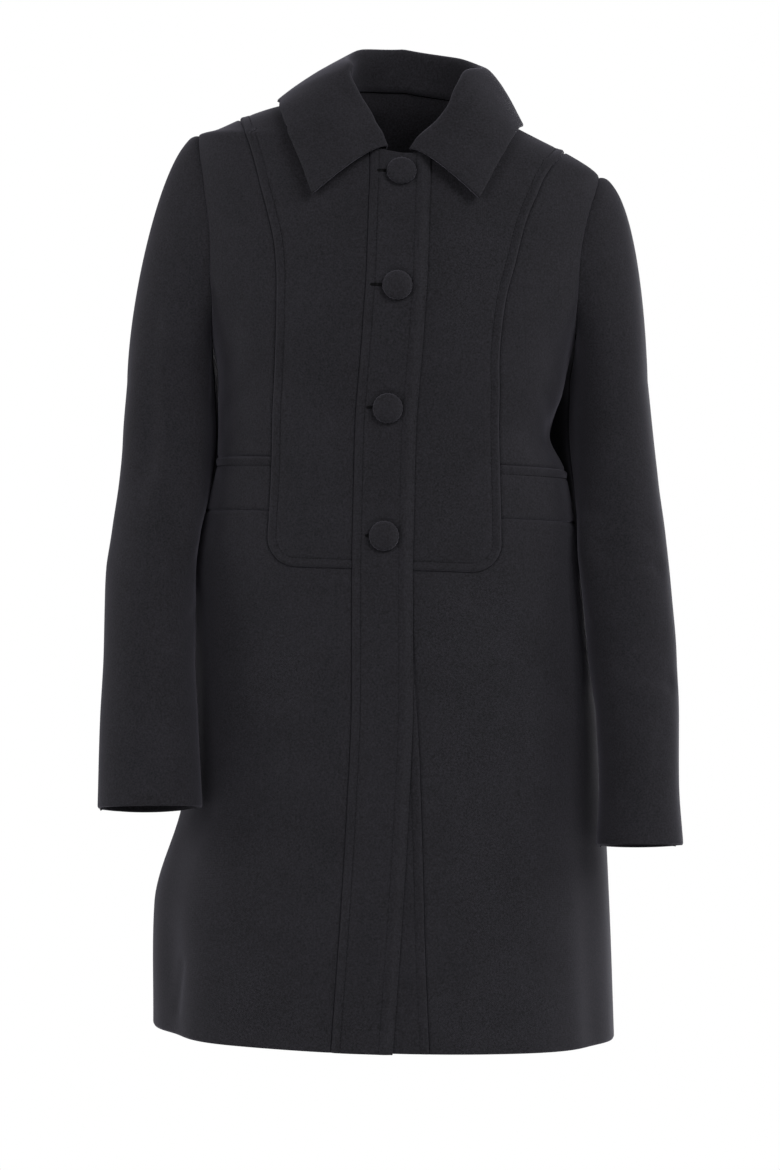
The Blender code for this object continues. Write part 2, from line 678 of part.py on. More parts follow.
def collar_surface(turn, way):
    """Collar as a surface of the turn at the neck, in degrees, and the way along it.

    The way is 0 to 1 up the stand and 1 to 2 down the fall.
    """
    turn, way = np.broadcast_arrays(np.asarray(turn, dtype=float), np.asarray(way, dtype=float))
    reading = np.where(turn > 180, 360 - turn, turn)
    side = np.where(turn > 180, -1, 1)
    row = {}
    for name in COLLAR_COLUMNS[1:]:
        right, left = (through(COLLAR[key]["turn"], COLLAR[key][name], reading) for key in (RIGHT, LEFT))
        row[name] = np.where(side < 0, right, left)
    neck = neck_place(turn) - (0, COLLAR_GAP)
    outward = body_normals(neck[..., 0], neck[..., 1])
    base = body(neck[..., 0], neck[..., 1]) - outward * CLOTH
    out = unit(outward * (1, 1, 0))
    up = np.array((0, 0, 1.0))
    scale = {name: (row[name] * MM)[..., None] for name in ("rise", "lean", "inward", "sweep", "clear")}
    roll = COLLAR_ROLL * MM
    aside = np.cross(up, out) * side[..., None]
    crest = base + up * scale["rise"] + out * (roll - scale["lean"]) - aside * scale["inward"]
    edge_angle = side * np.radians(row["edge_angle"])
    edge_outward = body_normals(edge_angle, row["edge_drop"])
    edge = body(edge_angle, row["edge_drop"]) + edge_outward * scale["clear"]

    def bend(p, a, b, q, t):
        return p * (1 - t) ** 3 + a * 3 * t * (1 - t) ** 2 + b * 3 * t ** 2 * (1 - t) + q * t ** 3

    t = np.clip(way, -PAST_END, 1)[..., None]
    stand = bend(base, base + up * scale["rise"] * STAND_PULL, crest - out * roll, crest, t)
    t = np.clip(way - 1, 0, 1 + PAST_END)[..., None]
    home = unit(crest - edge)
    above = edge + (home * FALL_REACH + edge_outward * FALL_BELLY) * MM
    leave = crest + out * roll * ROLL_PULL + aside * scale["sweep"]
    fall = bend(crest, leave, above, edge, t)
    return np.where(way[..., None] < 1, stand, fall)


def make_collar():
    """Collar with its stand inside and its pointed fall outside."""
    end = COLLAR[LEFT]["turn"][0]
    turns = np.linspace(end, 360 - end, COLLAR_AROUND + 1)
    stand = np.linspace(0, 1, COLLAR_STAND + 1)
    ways = np.concatenate((stand, np.linspace(1, 2, COLLAR_FALL + 1)[1:]))
    turn, way = np.meshgrid(turns, ways)
    face = collar_surface(turn, way)
    outward = -normals(collar_surface, turn, way, COLLAR_TURN_STEP, COLLAR_WAY_STEP)
    cloth("collar", face, face - outward * CLOTH)


def make_button(number, drop):
    """Cloth-covered dome button, turned about its own axis and set on the placket."""
    name = f"button_{number}"
    profile = [(0, BUTTON_HEIGHT)]
    for ring in range(1, BUTTON_RINGS + 1):
        turn = math.radians(90 * ring / BUTTON_RINGS)
        rise = BUTTON_RIM + (BUTTON_HEIGHT - BUTTON_RIM) * math.cos(turn)
        profile.append((BUTTON_RADIUS * math.sin(turn), rise))
    profile.append((BUTTON_RADIUS - BUTTON_RIM, 0))
    profile.append((0, 0))
    bm = bmesh.new()
    verts = [bm.verts.new((radius, 0, height)) for radius, height in profile]
    for upper, lower in zip(verts, verts[1:]):
        bm.edges.new((upper, lower))
    mesh = bpy.data.meshes.new(name)
    bm.to_mesh(mesh)
    bm.free()
    button = add_object(name, mesh, BUTTON_COLOUR, BUTTON_ROUGHNESS)
    turned = button.modifiers.new("turned", "SCREW")
    turned.axis = "Z"
    turned.steps = BUTTON_STEPS
    turned.render_steps = BUTTON_STEPS
    turned.use_merge_vertices = True
    turned.merge_threshold = WELD
    outward = body_normals(0.0, drop)
    button.location = body(0.0, drop) + outward * (LAYER + BUTTON_GAP)
    button.rotation_mode = "QUATERNION"
    button.rotation_quaternion = Vector(outward).to_track_quat("Z", "Y")


for item in list(bpy.data.objects):
    bpy.data.objects.remove(item, do_unlink=True)
coat = bpy.data.collections.new("wool_coat")
bpy.context.scene.collection.children.link(coat)

make_back()
for side in (RIGHT, LEFT):
    make_fronts(side)
    make_sleeve(side)
make_plackets()
make_collar()
for number, drop in enumerate(BUTTON_DROPS, start=1):
    make_button(number, drop)
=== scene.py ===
# %% [markdown]
# A black wool coat in its worn, hollow form.
# The real coat is cut flat from melton, a fulled wool cloth, and sewn into shape. Its form could be
# sculpted or draped by simulation, but a tailored coat keeps the shape its seams give it. So each
# cut piece is a fine grid of points on one smooth form, with its seams, welts and creases pressed in.

# %% Load the frame
import math

import bpy
import numpy as np
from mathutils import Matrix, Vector
from mathutils.kdtree import KDTree


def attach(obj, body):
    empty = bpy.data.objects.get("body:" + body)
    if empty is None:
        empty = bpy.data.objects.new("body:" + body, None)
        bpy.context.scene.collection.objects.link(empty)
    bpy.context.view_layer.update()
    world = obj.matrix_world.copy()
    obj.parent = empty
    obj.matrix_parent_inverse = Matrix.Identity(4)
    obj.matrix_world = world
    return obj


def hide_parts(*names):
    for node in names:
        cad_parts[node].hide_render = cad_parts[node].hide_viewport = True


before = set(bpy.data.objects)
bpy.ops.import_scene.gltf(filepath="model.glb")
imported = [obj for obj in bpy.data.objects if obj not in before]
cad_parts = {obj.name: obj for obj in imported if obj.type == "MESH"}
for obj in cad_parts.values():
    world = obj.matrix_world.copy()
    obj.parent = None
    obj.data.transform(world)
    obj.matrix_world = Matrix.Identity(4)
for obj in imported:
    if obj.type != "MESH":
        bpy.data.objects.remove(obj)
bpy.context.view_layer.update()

# %% [markdown]
# The form that the coat hangs in is a stack of level ovals, from the neck down to the hem. Each
# oval has its own reach to the two sides and depth to the front and back, read from a short table
# through a smooth curve. A point of cloth is then only an angle round the body and a drop below the
# shoulders, which is also how a dressmaker describes a place on a dress form. Sizes in the tables are
# millimetres. Right and left are the coat's own, as worn, at -X and +X. The front looks towards -Y.

# %% Ovals of the body
MM = 0.001
RIGHT = -1
LEFT = 1
WORD = {RIGHT: "right", LEFT: "left"}
ANGLE_STEP = 0.004
DROP_STEP = 0.5
BODY_COLUMNS = ("drop", "tilt", "centre", "right", "left", "front", "back", "side", "full")
BODY_SECTIONS = (
    (-25, 0.100, 4, 52, 66, 42, 62, 2, 0.02),
    (-2, 0.102, 3, 58, 74, 52, 70, 2, 0.03),
    (13, 0.103, 3, 113, 109, 60, 76, 1, 0.04),
    (22, 0.104, 2, 134, 132, 65, 80, 0, 0.05),
    (31, 0.104, 2, 152, 154, 69, 83, 0, 0.06),
    (42, 0.104, 2, 172, 175, 74, 86, 0, 0.07),
    (48, 0.104, 1, 186, 182, 76, 88, 0, 0.08),
    (75, 0.080, 1, 193, 187, 88, 97, 0, 0.10),
    (100, 0.062, 0, 195, 188, 98, 104, 0, 0.10),
    (135, 0.054, -1, 193, 185, 110, 111, 0, 0.10),
    (165, 0.050, -2, 189, 180, 117, 114, 0, 0.10),
    (195, 0.047, -4, 178, 171, 121, 114, 0, 0.10),
    (224, 0.045, -6, 167, 163, 121, 110, 0, 0.10),
    (260, 0.042, -9, 158, 160, 117, 104, 0, 0.10),
    (298, 0.040, -12, 156, 154, 113, 99, 0, 0.10),
    (331, 0.037, -13, 155, 165, 111, 98, 2, 0.10),
    (379, 0.034, -14, 165, 175, 113, 103, 4, 0.09),
    (428, 0.030, -15, 174, 182, 117, 111, 6, 0.08),
    (540, 0.026, -15, 177, 197, 130, 127, 12, 0.06),
    (640, 0.022, -19, 181, 208, 141, 136, 18, 0.05),
    (740, 0.025, -25, 202, 219, 150, 144, 20, 0.05),
    (853, 0.034, -33, 195, 231, 159, 152, 20, 0.06),
)
DENT_COLUMNS = ("turn", "drop", "half_turn", "half_drop", "depth")
BODY_DENTS = (
    (82, 302, 24, 18, -4),
    (-86, 300, 26, 18, -1),
    (-62, 851, 9, 190, -5),
    (-44, 851, 11, 230, 4),
    (66, 851, 10, 260, -4),
    (150, 851, 12, 300, -7),
    (176, 851, 12, 330, 5),
    (207, 851, 12, 280, -6),
)


def table(names, rows):
    """Turn the rows of a table into one array for each named column."""
    return dict(zip(names, np.array(rows, dtype=float).T))


def each_row(names, rows):
    """Turn each row of a table into a dictionary by the names of its columns."""
    return [dict(zip(names, row)) for row in rows]


def through(x, y, at):
    """Read a smooth curve through the points (x, y), which never overshoots them."""
    steps = np.diff(y) / np.diff(x)
    before, after = steps[:-1], steps[1:]
    same_way = before * after > 0
    total = np.where(same_way, before + after, 1)
    middle = np.where(same_way, 2 * before * after / total, 0)
    slope = np.concatenate((steps[:1], middle, steps[-1:]))
    at = np.clip(at, x[0], x[-1])
    row = np.clip(np.searchsorted(x, at) - 1, 0, len(x) - 2)
    span = x[row + 1] - x[row]
    t = (at - x[row]) / span
    near = y[row] * (1 + 2 * t) + slope[row] * span * t
    far = y[row + 1] * (3 - 2 * t) - slope[row + 1] * span * (1 - t)
    return near * (1 - t) ** 2 + far * t ** 2


def unit(vectors):
    """Scale vectors to a length of one."""
    return vectors / np.linalg.norm(vectors, axis=-1, keepdims=True)


def floats(*values):
    """Give arrays of numbers one common shape."""
    return np.broadcast_arrays(*(np.asarray(value, dtype=float) for value in values))


def turn_from(angle, at):
    """Degrees from one direction to another, the short way round."""
    return (np.degrees(angle) - at + 180) % 360 - 180


def dented(dents, turn, drop):
    """Millimetres that wide soft dents move a surface out. A negative depth goes in."""
    total = 0
    for dent in each_row(DENT_COLUMNS, dents):
        around = turn_from(turn, dent["turn"]) / dent["half_turn"]
        downwards = (drop - dent["drop"]) / dent["half_drop"]
        total = total + dent["depth"] * np.exp(-around ** 2 - downwards ** 2)
    return total


BODY = table(BODY_COLUMNS, BODY_SECTIONS)


def body(angle, drop):
    """Outside of the body, in metres, at angles from the centre front and drops."""
    angle, drop = floats(angle, drop)
    row = {name: through(BODY["drop"], BODY[name], drop) for name in BODY_COLUMNS[1:]}
    sine = np.sin(angle)
    cosine = np.cos(angle)
    reach = np.where(sine < 0, row["right"], row["left"])
    depth = np.where(cosine > 0, row["front"] + row["side"], row["back"] - row["side"])
    x = row["centre"] + reach * sine * (1 + row["full"] * cosine ** 2)
    y = row["side"] - depth * cosine * (1 + row["full"] * sine ** 2)
    dent = dented(BODY_DENTS, angle, drop)
    x = x + dent * sine
    y = y - dent * cosine
    return np.stack((x, y, -drop - row["tilt"] * x), axis=-1) * MM


def outward_of(surface, across, down, across_step, down_step):
    """Outward directions of a surface of two coordinates."""
    sideways = surface(across + across_step, down) - surface(across - across_step, down)
    downwards = surface(across, down + down_step) - surface(across, down - down_step)
    return unit(np.cross(downwards, sideways))


def body_outward(angle, drop):
    """Outward directions of the body."""
    return outward_of(body, angle, drop, ANGLE_STEP, DROP_STEP)


waist_sides = body(np.radians((-90, 90)), 298)
print("waist, side to side:", round(float(np.ptp(waist_sides[:, 0])), 3), "m")

# %% [markdown]
# A pattern cutter draws seams as lines on the form. Here every seam is a path of (angle, drop)
# places: the round neck, the shoulder and side seams, the armholes and the two placket seams. Paths
# could be curves in Blender, but places on the form keep each seam exactly on the body.

# %% Seams on the form
NECK_POINT = -2
SHOULDER_TIP = 48
ARMPIT = {RIGHT: 226, LEFT: 212}
HEM = 853
UNDERLAP_HEM = 852
ARMHOLE_HALF_ANGLE = math.radians(30)
OVERLAP_SEAM = -28
OVERLAP_EDGE = 26
DENSE = 400
HALVINGS = 40
MEETING_STEPS = 60
NECK_COLUMNS = ("turn", "angle", "drop")
NECKLINE = (
    (0, 0, 55),
    (15, 5.5, 53),
    (30, 10.5, 46),
    (45, 15.5, 34),
    (60, 23, 19),
    (75, 40, 6),
    (90, 90, -2),
    (130, 130, -14),
    (180, 180, -20),
)
UNDERLAP_COLUMNS = ("drop", "out")
UNDERLAP_SEAM = ((50, 22), (428, 23), (518, 27), (600, 34), (684, 41), (762, 48), (851, 58))
NECK = table(NECK_COLUMNS, NECKLINE)
UNDERLAP = table(UNDERLAP_COLUMNS, UNDERLAP_SEAM)


def places(angle, drop):
    """Pair angles with drops, one row for each place."""
    return np.stack(floats(angle, drop), axis=-1)


def angle_at(out, drop):
    """Angle of the point that lies a given way out from the centre front, found by halving."""
    out, drop = floats(out, drop)
    right, left, full = (through(BODY["drop"], BODY[name], drop) for name in ("right", "left", "full"))
    ratio = np.minimum(np.abs(out) / np.where(out < 0, right, left), 1)
    low = np.zeros_like(ratio)
    high = np.full_like(ratio, math.pi / 2)
    for _ in range(HALVINGS):
        middle = (low + high) / 2
        inside = np.sin(middle) * (1 + full * np.cos(middle) ** 2) < ratio
        low = np.where(inside, middle, low)
        high = np.where(inside, high, middle)
    return np.sign(out) * np.where(ratio >= 1, math.pi / 2, high)


def neck_place(turn):
    """Places on the neck seam at turns in degrees, from -180 to 360."""
    turn = np.asarray(turn, dtype=float)
    around = (turn + 180) % 360 - 180
    angle = np.radians(through(NECK["turn"], NECK["angle"], np.abs(around)))
    drop = through(NECK["turn"], NECK["drop"], np.abs(around))
    return places(np.where(around < 0, np.where(turn > 180, math.tau - angle, -angle), angle), drop)


def armhole(side, turn):
    """Places on an armhole, turning from the shoulder tip to the front."""
    middle = (SHOULDER_TIP + ARMPIT[side]) / 2
    half = (ARMPIT[side] - SHOULDER_TIP) / 2
    angle = side * (math.pi / 2 - ARMHOLE_HALF_ANGLE * np.sin(turn))
    return places(angle, middle - half * np.cos(turn))


def upright(angle, top, foot):
    """Path down at one angle, as the side and shoulder seams run."""
    return places(angle, np.linspace(top, foot, DENSE))


def level(start, end, drop):
    """Path at one height between two angles."""
    return places(np.linspace(start, end, DENSE), drop)


def down_front(out_at, top, foot):
    """Path down the front, at the way out that out_at gives."""
    drop = np.linspace(top, foot, DENSE)
    return places(angle_at(out_at(drop), drop), drop)


def neck_meets(out_at):
    """Turn and drop where a line down the front meets the neck seam."""
    turn = 0.0
    for _ in range(MEETING_STEPS):
        place = neck_place(turn)
        wanted = np.degrees(angle_at(out_at(place[1]), place[1]))
        turn = turn + (wanted - np.degrees(place[0]))
    return float(turn), float(neck_place(turn)[1])


def from_neck(out_at, foot, below=0):
    """Path down the front that starts at the neck seam, or a little below it."""
    return down_front(out_at, neck_meets(out_at)[1] + below, foot)


def straight(way):
    """Line down the front at one way out from its middle."""

    def out_at(drop):
        return np.full_like(np.asarray(drop, dtype=float), way)

    return out_at


def underlap_out(drop):
    """Way out to the seam of the left placket, which leans out towards the hem."""
    return through(UNDERLAP["drop"], UNDERLAP["out"], drop)


PLACKET_SEAM = {RIGHT: straight(OVERLAP_SEAM), LEFT: underlap_out}
free_edge = straight(OVERLAP_EDGE)
print("right placket:", OVERLAP_EDGE - OVERLAP_SEAM, "mm wide")

# %% [markdown]
# The bib seam is the coat's main style line. It falls from the shoulder in a long easy curve, turns
# a round corner below the waist and runs in to the placket. A drawn curve would leave the form, so
# its bodice comes from a table of ways out, and the corner is an arc of its own radius. It is kept
# in four paths, because four other pieces meet it.

# %% Bib seam
BIB_TOP = 27
BAND_TOP = 331
BAND_FOOT = 379
BIB_FOOT = 428
BIB_CORNER = 26
BIB_COLUMNS = ("drop", "right", "left")
BIB_SEAM = (
    (27, 150, 150),
    (60, 136, 130),
    (85, 128, 121),
    (113, 119, 112),
    (145, 111, 105),
    (185, 107, 97),
    (225, 105, 95),
    (275, 103, 99),
    (331, 102, 102),
    (402, 104, 105),
)
BIB = table(BIB_COLUMNS, BIB_SEAM)


def bib_seam(side):
    """Bib seam in four paths: bodice, waistband, half of the round corner, and the bottom."""

    def out_at(drop):
        return side * through(BIB["drop"], BIB[WORD[side]], drop)

    def corner(start, end):
        turn = np.radians(np.linspace(start, end, DENSE))
        out = np.abs(out_at(BIB_FOOT - BIB_CORNER)) - BIB_CORNER * (1 - np.cos(turn))
        drop = BIB_FOOT - BIB_CORNER * (1 - np.sin(turn))
        return places(angle_at(side * out, drop), drop)

    drops = BIB_TOP + (BAND_TOP - BIB_TOP) * np.linspace(0, 1, DENSE) ** 2
    bodice = places(angle_at(out_at(drops), drops), drops)
    waist = down_front(out_at, BAND_TOP, BAND_FOOT)
    lower = down_front(out_at, BAND_FOOT, BIB_FOOT - BIB_CORNER)
    last = corner(45, 90)
    inner_angle = angle_at(PLACKET_SEAM[side](BIB_FOOT), BIB_FOOT)
    bottom = level(last[-1, 0], inner_angle, BIB_FOOT)
    rounded = np.concatenate((lower, corner(0, 45)[1:]))
    return bodice, waist, rounded, np.concatenate((last, bottom[1:]))


def length_of(path):
    """Length of a path on the body, in millimetres."""
    steps = np.diff(body(path[:, 0], path[:, 1]), axis=0)
    return float(np.sum(np.linalg.norm(steps, axis=1)) / MM)


print("bib seam from shoulder to placket:", round(sum(length_of(path) for path in bib_seam(RIGHT))), "mm")

# %% [markdown]
# Melton is woven as a plain twill, then fulled and brushed until short fibres hide most of the
# weave. What the eye gets is a matt near-black with a fine uneven grain, a trace of twill, and a
# soft cool bloom where the cloth turns away, because the nap catches light at a low angle. A flat
# dark colour would look like plastic, so the grain, twill and fibre bump are drawn in nodes, and
# the bloom is the shader's own sheen. Real fibres are some hundredths of a millimetre thick, too
# fine to show, so they are drawn as coarse as the picture needs.

# %% Melton wool
GRAIN = 1.5 * MM
NAP_PATCH = 45 * MM
TWILL = 1.2 * MM
FIBRE = 0.7 * MM
FIBRE_DEPTH = 0.4 * MM
PATCH_SHARE = 0.15
TWILL_SHARE = 0.07
SPECK_SHARE = 0.45
# Radians that the wave texture's diagonal bands turn through in one metre, at a scale of one.
BAND_PHASE = 10 * math.sqrt(2)
RAMP_ENDS = (0.30, 0.70)


def linear(hex_colour):
    """Turn an sRGB hex colour into linear RGBA."""
    parts = [int(hex_colour[place:place + 2], 16) / 255 for place in (1, 3, 5)]
    straightened = [part / 12.92 if part <= 0.04045 else ((part + 0.055) / 1.055) ** 2.4 for part in parts]
    return (*straightened, 1.0)


def add_node(tree, kind, settings=None, **links):
    """Add a node, set its properties and sockets, and link sockets to other nodes' outputs."""
    node = tree.nodes.new(kind)
    for name, value in (settings or {}).items():
        if hasattr(node, name):
            setattr(node, name, value)
        else:
            node.inputs[name].default_value = value
    for name, source in links.items():
        tree.links.new(source, node.inputs[name.replace("_", " ")])
    return node


def new_material(name, settings):
    """Material whose shader has these values on its own sockets, with its tree and shader."""
    material = bpy.data.materials.new(name)
    material.use_nodes = True
    shader = material.node_tree.nodes["Principled BSDF"]
    for socket, value in settings.items():
        shader.inputs[socket].default_value = value
    return material, material.node_tree, shader


def wool(name, dark, light, roughness, sheen):
    """Melton in one shade: dark and light are the darkest and lightest fibres."""
    surface = {
        "Roughness": roughness,
        "Specular IOR Level": 0.2,
        "Sheen Weight": sheen,
        "Sheen Roughness": 0.45,
        "Sheen Tint": linear("#cdc9de"),
    }
    material, tree, shader = new_material(name, surface)
    where = add_node(tree, "ShaderNodeTexCoord").outputs
    noise = {}
    for part, size, detail in (("grain", GRAIN, 3.0), ("patch", NAP_PATCH, 2.0), ("fibre", FIBRE, 2.0)):
        spots = {"Scale": 1 / size, "Detail": detail}
        noise[part] = add_node(tree, "ShaderNodeTexNoise", spots, Vector=where["Object"]).outputs["Fac"]
    bands = {
        "bands_direction": "DIAGONAL",
        "Scale": math.tau / (BAND_PHASE * TWILL),
        "Distortion": 1.2,
        "Detail Scale": 1.5,
    }
    twill = add_node(tree, "ShaderNodeTexWave", bands, Vector=where["UV"]).outputs["Fac"]
    tone = add_node(tree, "ShaderNodeMix", {"Factor": PATCH_SHARE}, A=noise["grain"], B=noise["patch"])
    speck = add_node(tree, "ShaderNodeMix", {"Factor": TWILL_SHARE}, A=tone.outputs["Result"], B=twill)
    speck = speck.outputs["Result"]
    colour = add_node(tree, "ShaderNodeValToRGB", Fac=speck)
    for element, position, shade in zip(colour.color_ramp.elements, RAMP_ENDS, (dark, light)):
        element.position = position
        element.color = linear(shade)
    nap = add_node(tree, "ShaderNodeMix", {"Factor": SPECK_SHARE}, A=noise["fibre"], B=speck)
    relief = {"Strength": 0.35, "Distance": FIBRE_DEPTH}
    bump = add_node(tree, "ShaderNodeBump", relief, Height=nap.outputs["Result"])
    tree.links.new(colour.outputs["Color"], shader.inputs["Base Color"])
    tree.links.new(bump.outputs["Normal"], shader.inputs["Normal"])
    return material


# Fulled and brushed wool: matt and near-black, with a fine grain and a cool bloom at its edges.
MELTON = wool("black_melton_wool", dark="#070709", light="#212025", roughness=0.9, sheen=0.15)
print("melton grain:", round(GRAIN / MM, 1), "mm, twill:", round(TWILL / MM, 1), "mm")

# %% [markdown]
# A cut piece lies between four seams, so its points can be blended from its four edges. The grid
# is coarse in the middle, where the cloth is smooth, and fine along the edges, where a seam, a welt
# or a turned edge has to show in true relief. A modelled plane with a Subdivision modifier would
# spend its faces evenly instead.

# %% Grids of cloth
COARSE = 4.0
EDGE_STEPS = {
    "fine": (0, 0.5, 1.1, 1.8, 2.8, 4.2, 5.6, 6.6, 7.3, 8.0, 8.7, 9.4, 10.6, 12.6, 15.5),
    "plain": (0, 0.6, 1.4, 2.6, 4.4, 7),
    "none": (0,),
}
PLAIN_EDGES = {"top": "plain", "foot": "plain", "start": "plain", "end": "plain"}


def along(path, fraction):
    """Places at fractions of a path's length on the body."""
    points = body(path[:, 0], path[:, 1])
    lengths = np.concatenate(([0], np.cumsum(np.linalg.norm(np.diff(points, axis=0), axis=1))))
    wanted = np.asarray(fraction) * lengths[-1]
    return np.stack([np.interp(wanted, lengths, path[:, column]) for column in (0, 1)], axis=-1)


def edge_at(stretches, fraction):
    """Places along an edge, from its one path or from pairs of a path and its share of the edge."""
    if isinstance(stretches, np.ndarray):
        return along(stretches, fraction)
    shares = np.cumsum([0] + [share for _, share in stretches])
    shares = shares / shares[-1]
    found = np.empty((len(fraction), 2))
    for (path, _), low, high in zip(stretches, shares, shares[1:]):
        inside = (fraction >= low) & (fraction <= high)
        found[inside] = along(path, (fraction[inside] - low) / (high - low))
    return found


def spread(length, first, last, coarse=COARSE):
    """Fractions that divide a length in millimetres, fine towards the named kinds of edge."""
    near = np.array(EDGE_STEPS[first], dtype=float)
    far = length - np.array(EDGE_STEPS[last], dtype=float)[::-1]
    steps = max(2, round((far[0] - near[-1]) / coarse))
    return np.concatenate((near, np.linspace(near[-1], far[0], steps + 1)[1:-1], far)) / length


def lay_out(edges, across, down, kinds=PLAIN_EDGES):
    """Grid of places between four edges of a piece of about that size in millimetres."""
    u = spread(across, kinds["start"], kinds["end"])
    w = spread(down, kinds["top"], kinds["foot"])
    top, foot = (edge_at(edges[name], u) for name in ("top", "foot"))
    start, end = (edge_at(edges[name], w) for name in ("start", "end"))
    u = u[None, :, None]
    w = w[:, None, None]
    ruled = (1 - w) * top[None] + w * foot[None] + (1 - u) * start[:, None] + u * end[:, None]
    upper = (1 - u) * top[0] + u * top[-1]
    lower = (1 - u) * foot[0] + u * foot[-1]
    return ruled - (1 - w) * upper - w * lower


print("finest step along an edge:", EDGE_STEPS["fine"][1], "mm, coarsest in a panel:", COARSE, "mm")

# %% [markdown]
# Real cloth has two sides and an edge with thickness, so each grid becomes a closed wall: the face,
# the inner side and a rim all round. Solidify could do that, but here the inner side stays smooth
# under the relief of the face. The lengths along the grid go into a UV map, which is the flat cut
# that the weave is drawn on.

# %% Walls of cloth
CLOTH = 2.0 * MM
pieces = {}


def new_object(name, data):
    """Object in the scene that shows this data."""
    made = bpy.data.objects.new(name, data)
    bpy.context.scene.collection.objects.link(made)
    return made


def flat_cut(points):
    """Lengths along the rows and columns of a grid, as the flat cloth has them."""
    across = np.linalg.norm(np.diff(points, axis=1), axis=-1)
    down = np.linalg.norm(np.diff(points, axis=0), axis=-1)
    across = np.concatenate((np.zeros((len(points), 1)), np.cumsum(across, axis=1)), axis=1)
    down = np.concatenate((np.zeros((1, points.shape[1])), np.cumsum(down, axis=0)), axis=0)
    return np.stack((across, -down), axis=-1)


def make_piece(name, points, faces, cut, material):
    """Make one piece with smooth shading and its flat cut as a UV map."""
    mesh = bpy.data.meshes.new(name)
    mesh.from_pydata(points.tolist(), [], faces)
    mesh.uv_layers.new(name="cut").data.foreach_set("uv", cut.ravel())
    mesh.shade_smooth()
    mesh.materials.append(material)
    pieces[name] = new_object(name, mesh)
    print(name, len(faces), "faces")


def wall(name, face, inside, tube=False):
    """Closed wall of melton from the points of its two sides. A tube's last column is its first."""
    rows, columns = face.shape[:2]
    around = columns - 1 if tube else columns
    row, column = np.mgrid[0:rows - 1, 0:columns - 1]
    ring = np.array(((0, 0), (1, 0), (1, 1), (0, 1)))
    quads = np.stack((row, column), axis=-1).reshape(-1, 1, 2) + ring
    outer = np.concatenate((quads, np.zeros_like(quads[..., :1])), axis=-1)
    inner = np.concatenate((quads[:, ::-1], np.ones_like(quads[..., :1])), axis=-1)
    rims = []
    foot, end = rows - 1, columns - 1
    for c in range(end):
        rims.append(((0, c, 0), (0, c + 1, 0), (0, c + 1, 1), (0, c, 1)))
        rims.append(((foot, c + 1, 0), (foot, c, 0), (foot, c, 1), (foot, c + 1, 1)))
    for r in range(0 if tube else foot):
        rims.append(((r + 1, 0, 0), (r, 0, 0), (r, 0, 1), (r + 1, 0, 1)))
        rims.append(((r, end, 0), (r + 1, end, 0), (r + 1, end, 1), (r, end, 1)))
    corners = np.concatenate((outer, inner, np.array(rims)))
    points = np.concatenate((face[:, :around].reshape(-1, 3), inside[:, :around].reshape(-1, 3)))
    faces = corners[..., 0] * around + corners[..., 1] % around + corners[..., 2] * rows * around
    first, second, third = (points[faces[:, place]] for place in (0, 1, 2))
    if np.sum(first * np.cross(second, third)) < 0:
        faces = faces[:, ::-1]
        corners = corners[:, ::-1]
    cut = flat_cut(face)[corners[..., 0], corners[..., 1]]
    make_piece(name, points, faces.tolist(), cut, MELTON)


print("wall:", CLOTH / MM, "mm thick")

# %% [markdown]
# A seam is more than a line. Where two pieces meet, both roll in and make a narrow dark groove. On
# the bib, the plackets and the waistband top, the turnings are pressed to one side and held by a row
# of stitches 8 mm away, so a raised strip, a welt, runs along the seam. These could be bump maps,
# but light from the side shows their true height, so they are shaped in the grid by distance.

# %% Seams, welts and turned edges
WELT = 8.0
WELT_RISE = 1.1
WELT_FLAT = 2.5
STITCH_DIP = 0.6
STITCH_WIDTH = 1.4
EDGE_DIP = 1.3
EDGE_WIDTH = 1.1
TINY = 1e-12


def soft_step(value):
    """Rise smoothly from 0 to 1."""
    value = np.clip(value, 0, 1)
    return value * value * (3 - 2 * value)


def bell(distance, width, middle=0.0):
    """Smooth bump of height one."""
    return np.exp(-((distance - middle) / width) ** 2)


def dip(depth, width):
    """Profile of cloth drawn in along a line, with its sizes in millimetres."""

    def profile(distance):
        return -depth * bell(distance, width)

    return profile


def welted(distance):
    """Side of a seam with its turnings underneath, topstitched."""
    strip = WELT_RISE * (1 - soft_step((distance - WELT_FLAT) / (WELT - WELT_FLAT)))
    return strip - EDGE_DIP * bell(distance, EDGE_WIDTH) - STITCH_DIP * bell(distance, STITCH_WIDTH, WELT)


def distances(points, line):
    """Millimetres from points to a line, both in metres."""
    tree = KDTree(len(line))
    for number, place in enumerate(line):
        tree.insert(place, number)
    tree.balance()
    flat = points.reshape(-1, 3)
    nearest = np.array([tree.find(place)[1] for place in flat])
    best = np.full(len(flat), np.inf)
    for step in (-1, 0):
        first = np.clip(nearest + step, 0, len(line) - 2)
        start, way = line[first], line[first + 1] - line[first]
        share = np.sum((flat - start) * way, axis=1) / np.maximum(np.sum(way * way, axis=1), TINY)
        gap = flat - start - way * np.clip(share, 0, 1)[:, None]
        best = np.minimum(best, np.linalg.norm(gap, axis=1))
    return best.reshape(points.shape[:-1]) / MM


# Side of a seam that lies below its neighbour.
pressed = dip(depth=1.6, width=1.25)
# Armhole seam, whose two sides are eased together without pressing.
set_in = dip(depth=0.3, width=1.6)
# Edge where the cloth is turned under, as at a hem.
turned = dip(depth=0.9, width=1.0)
# Cloth pressed down along the free edge of what lies on it.
lapped = dip(depth=1.3, width=8.0)
print("welt:", WELT, "mm wide and", WELT_RISE, "mm high")
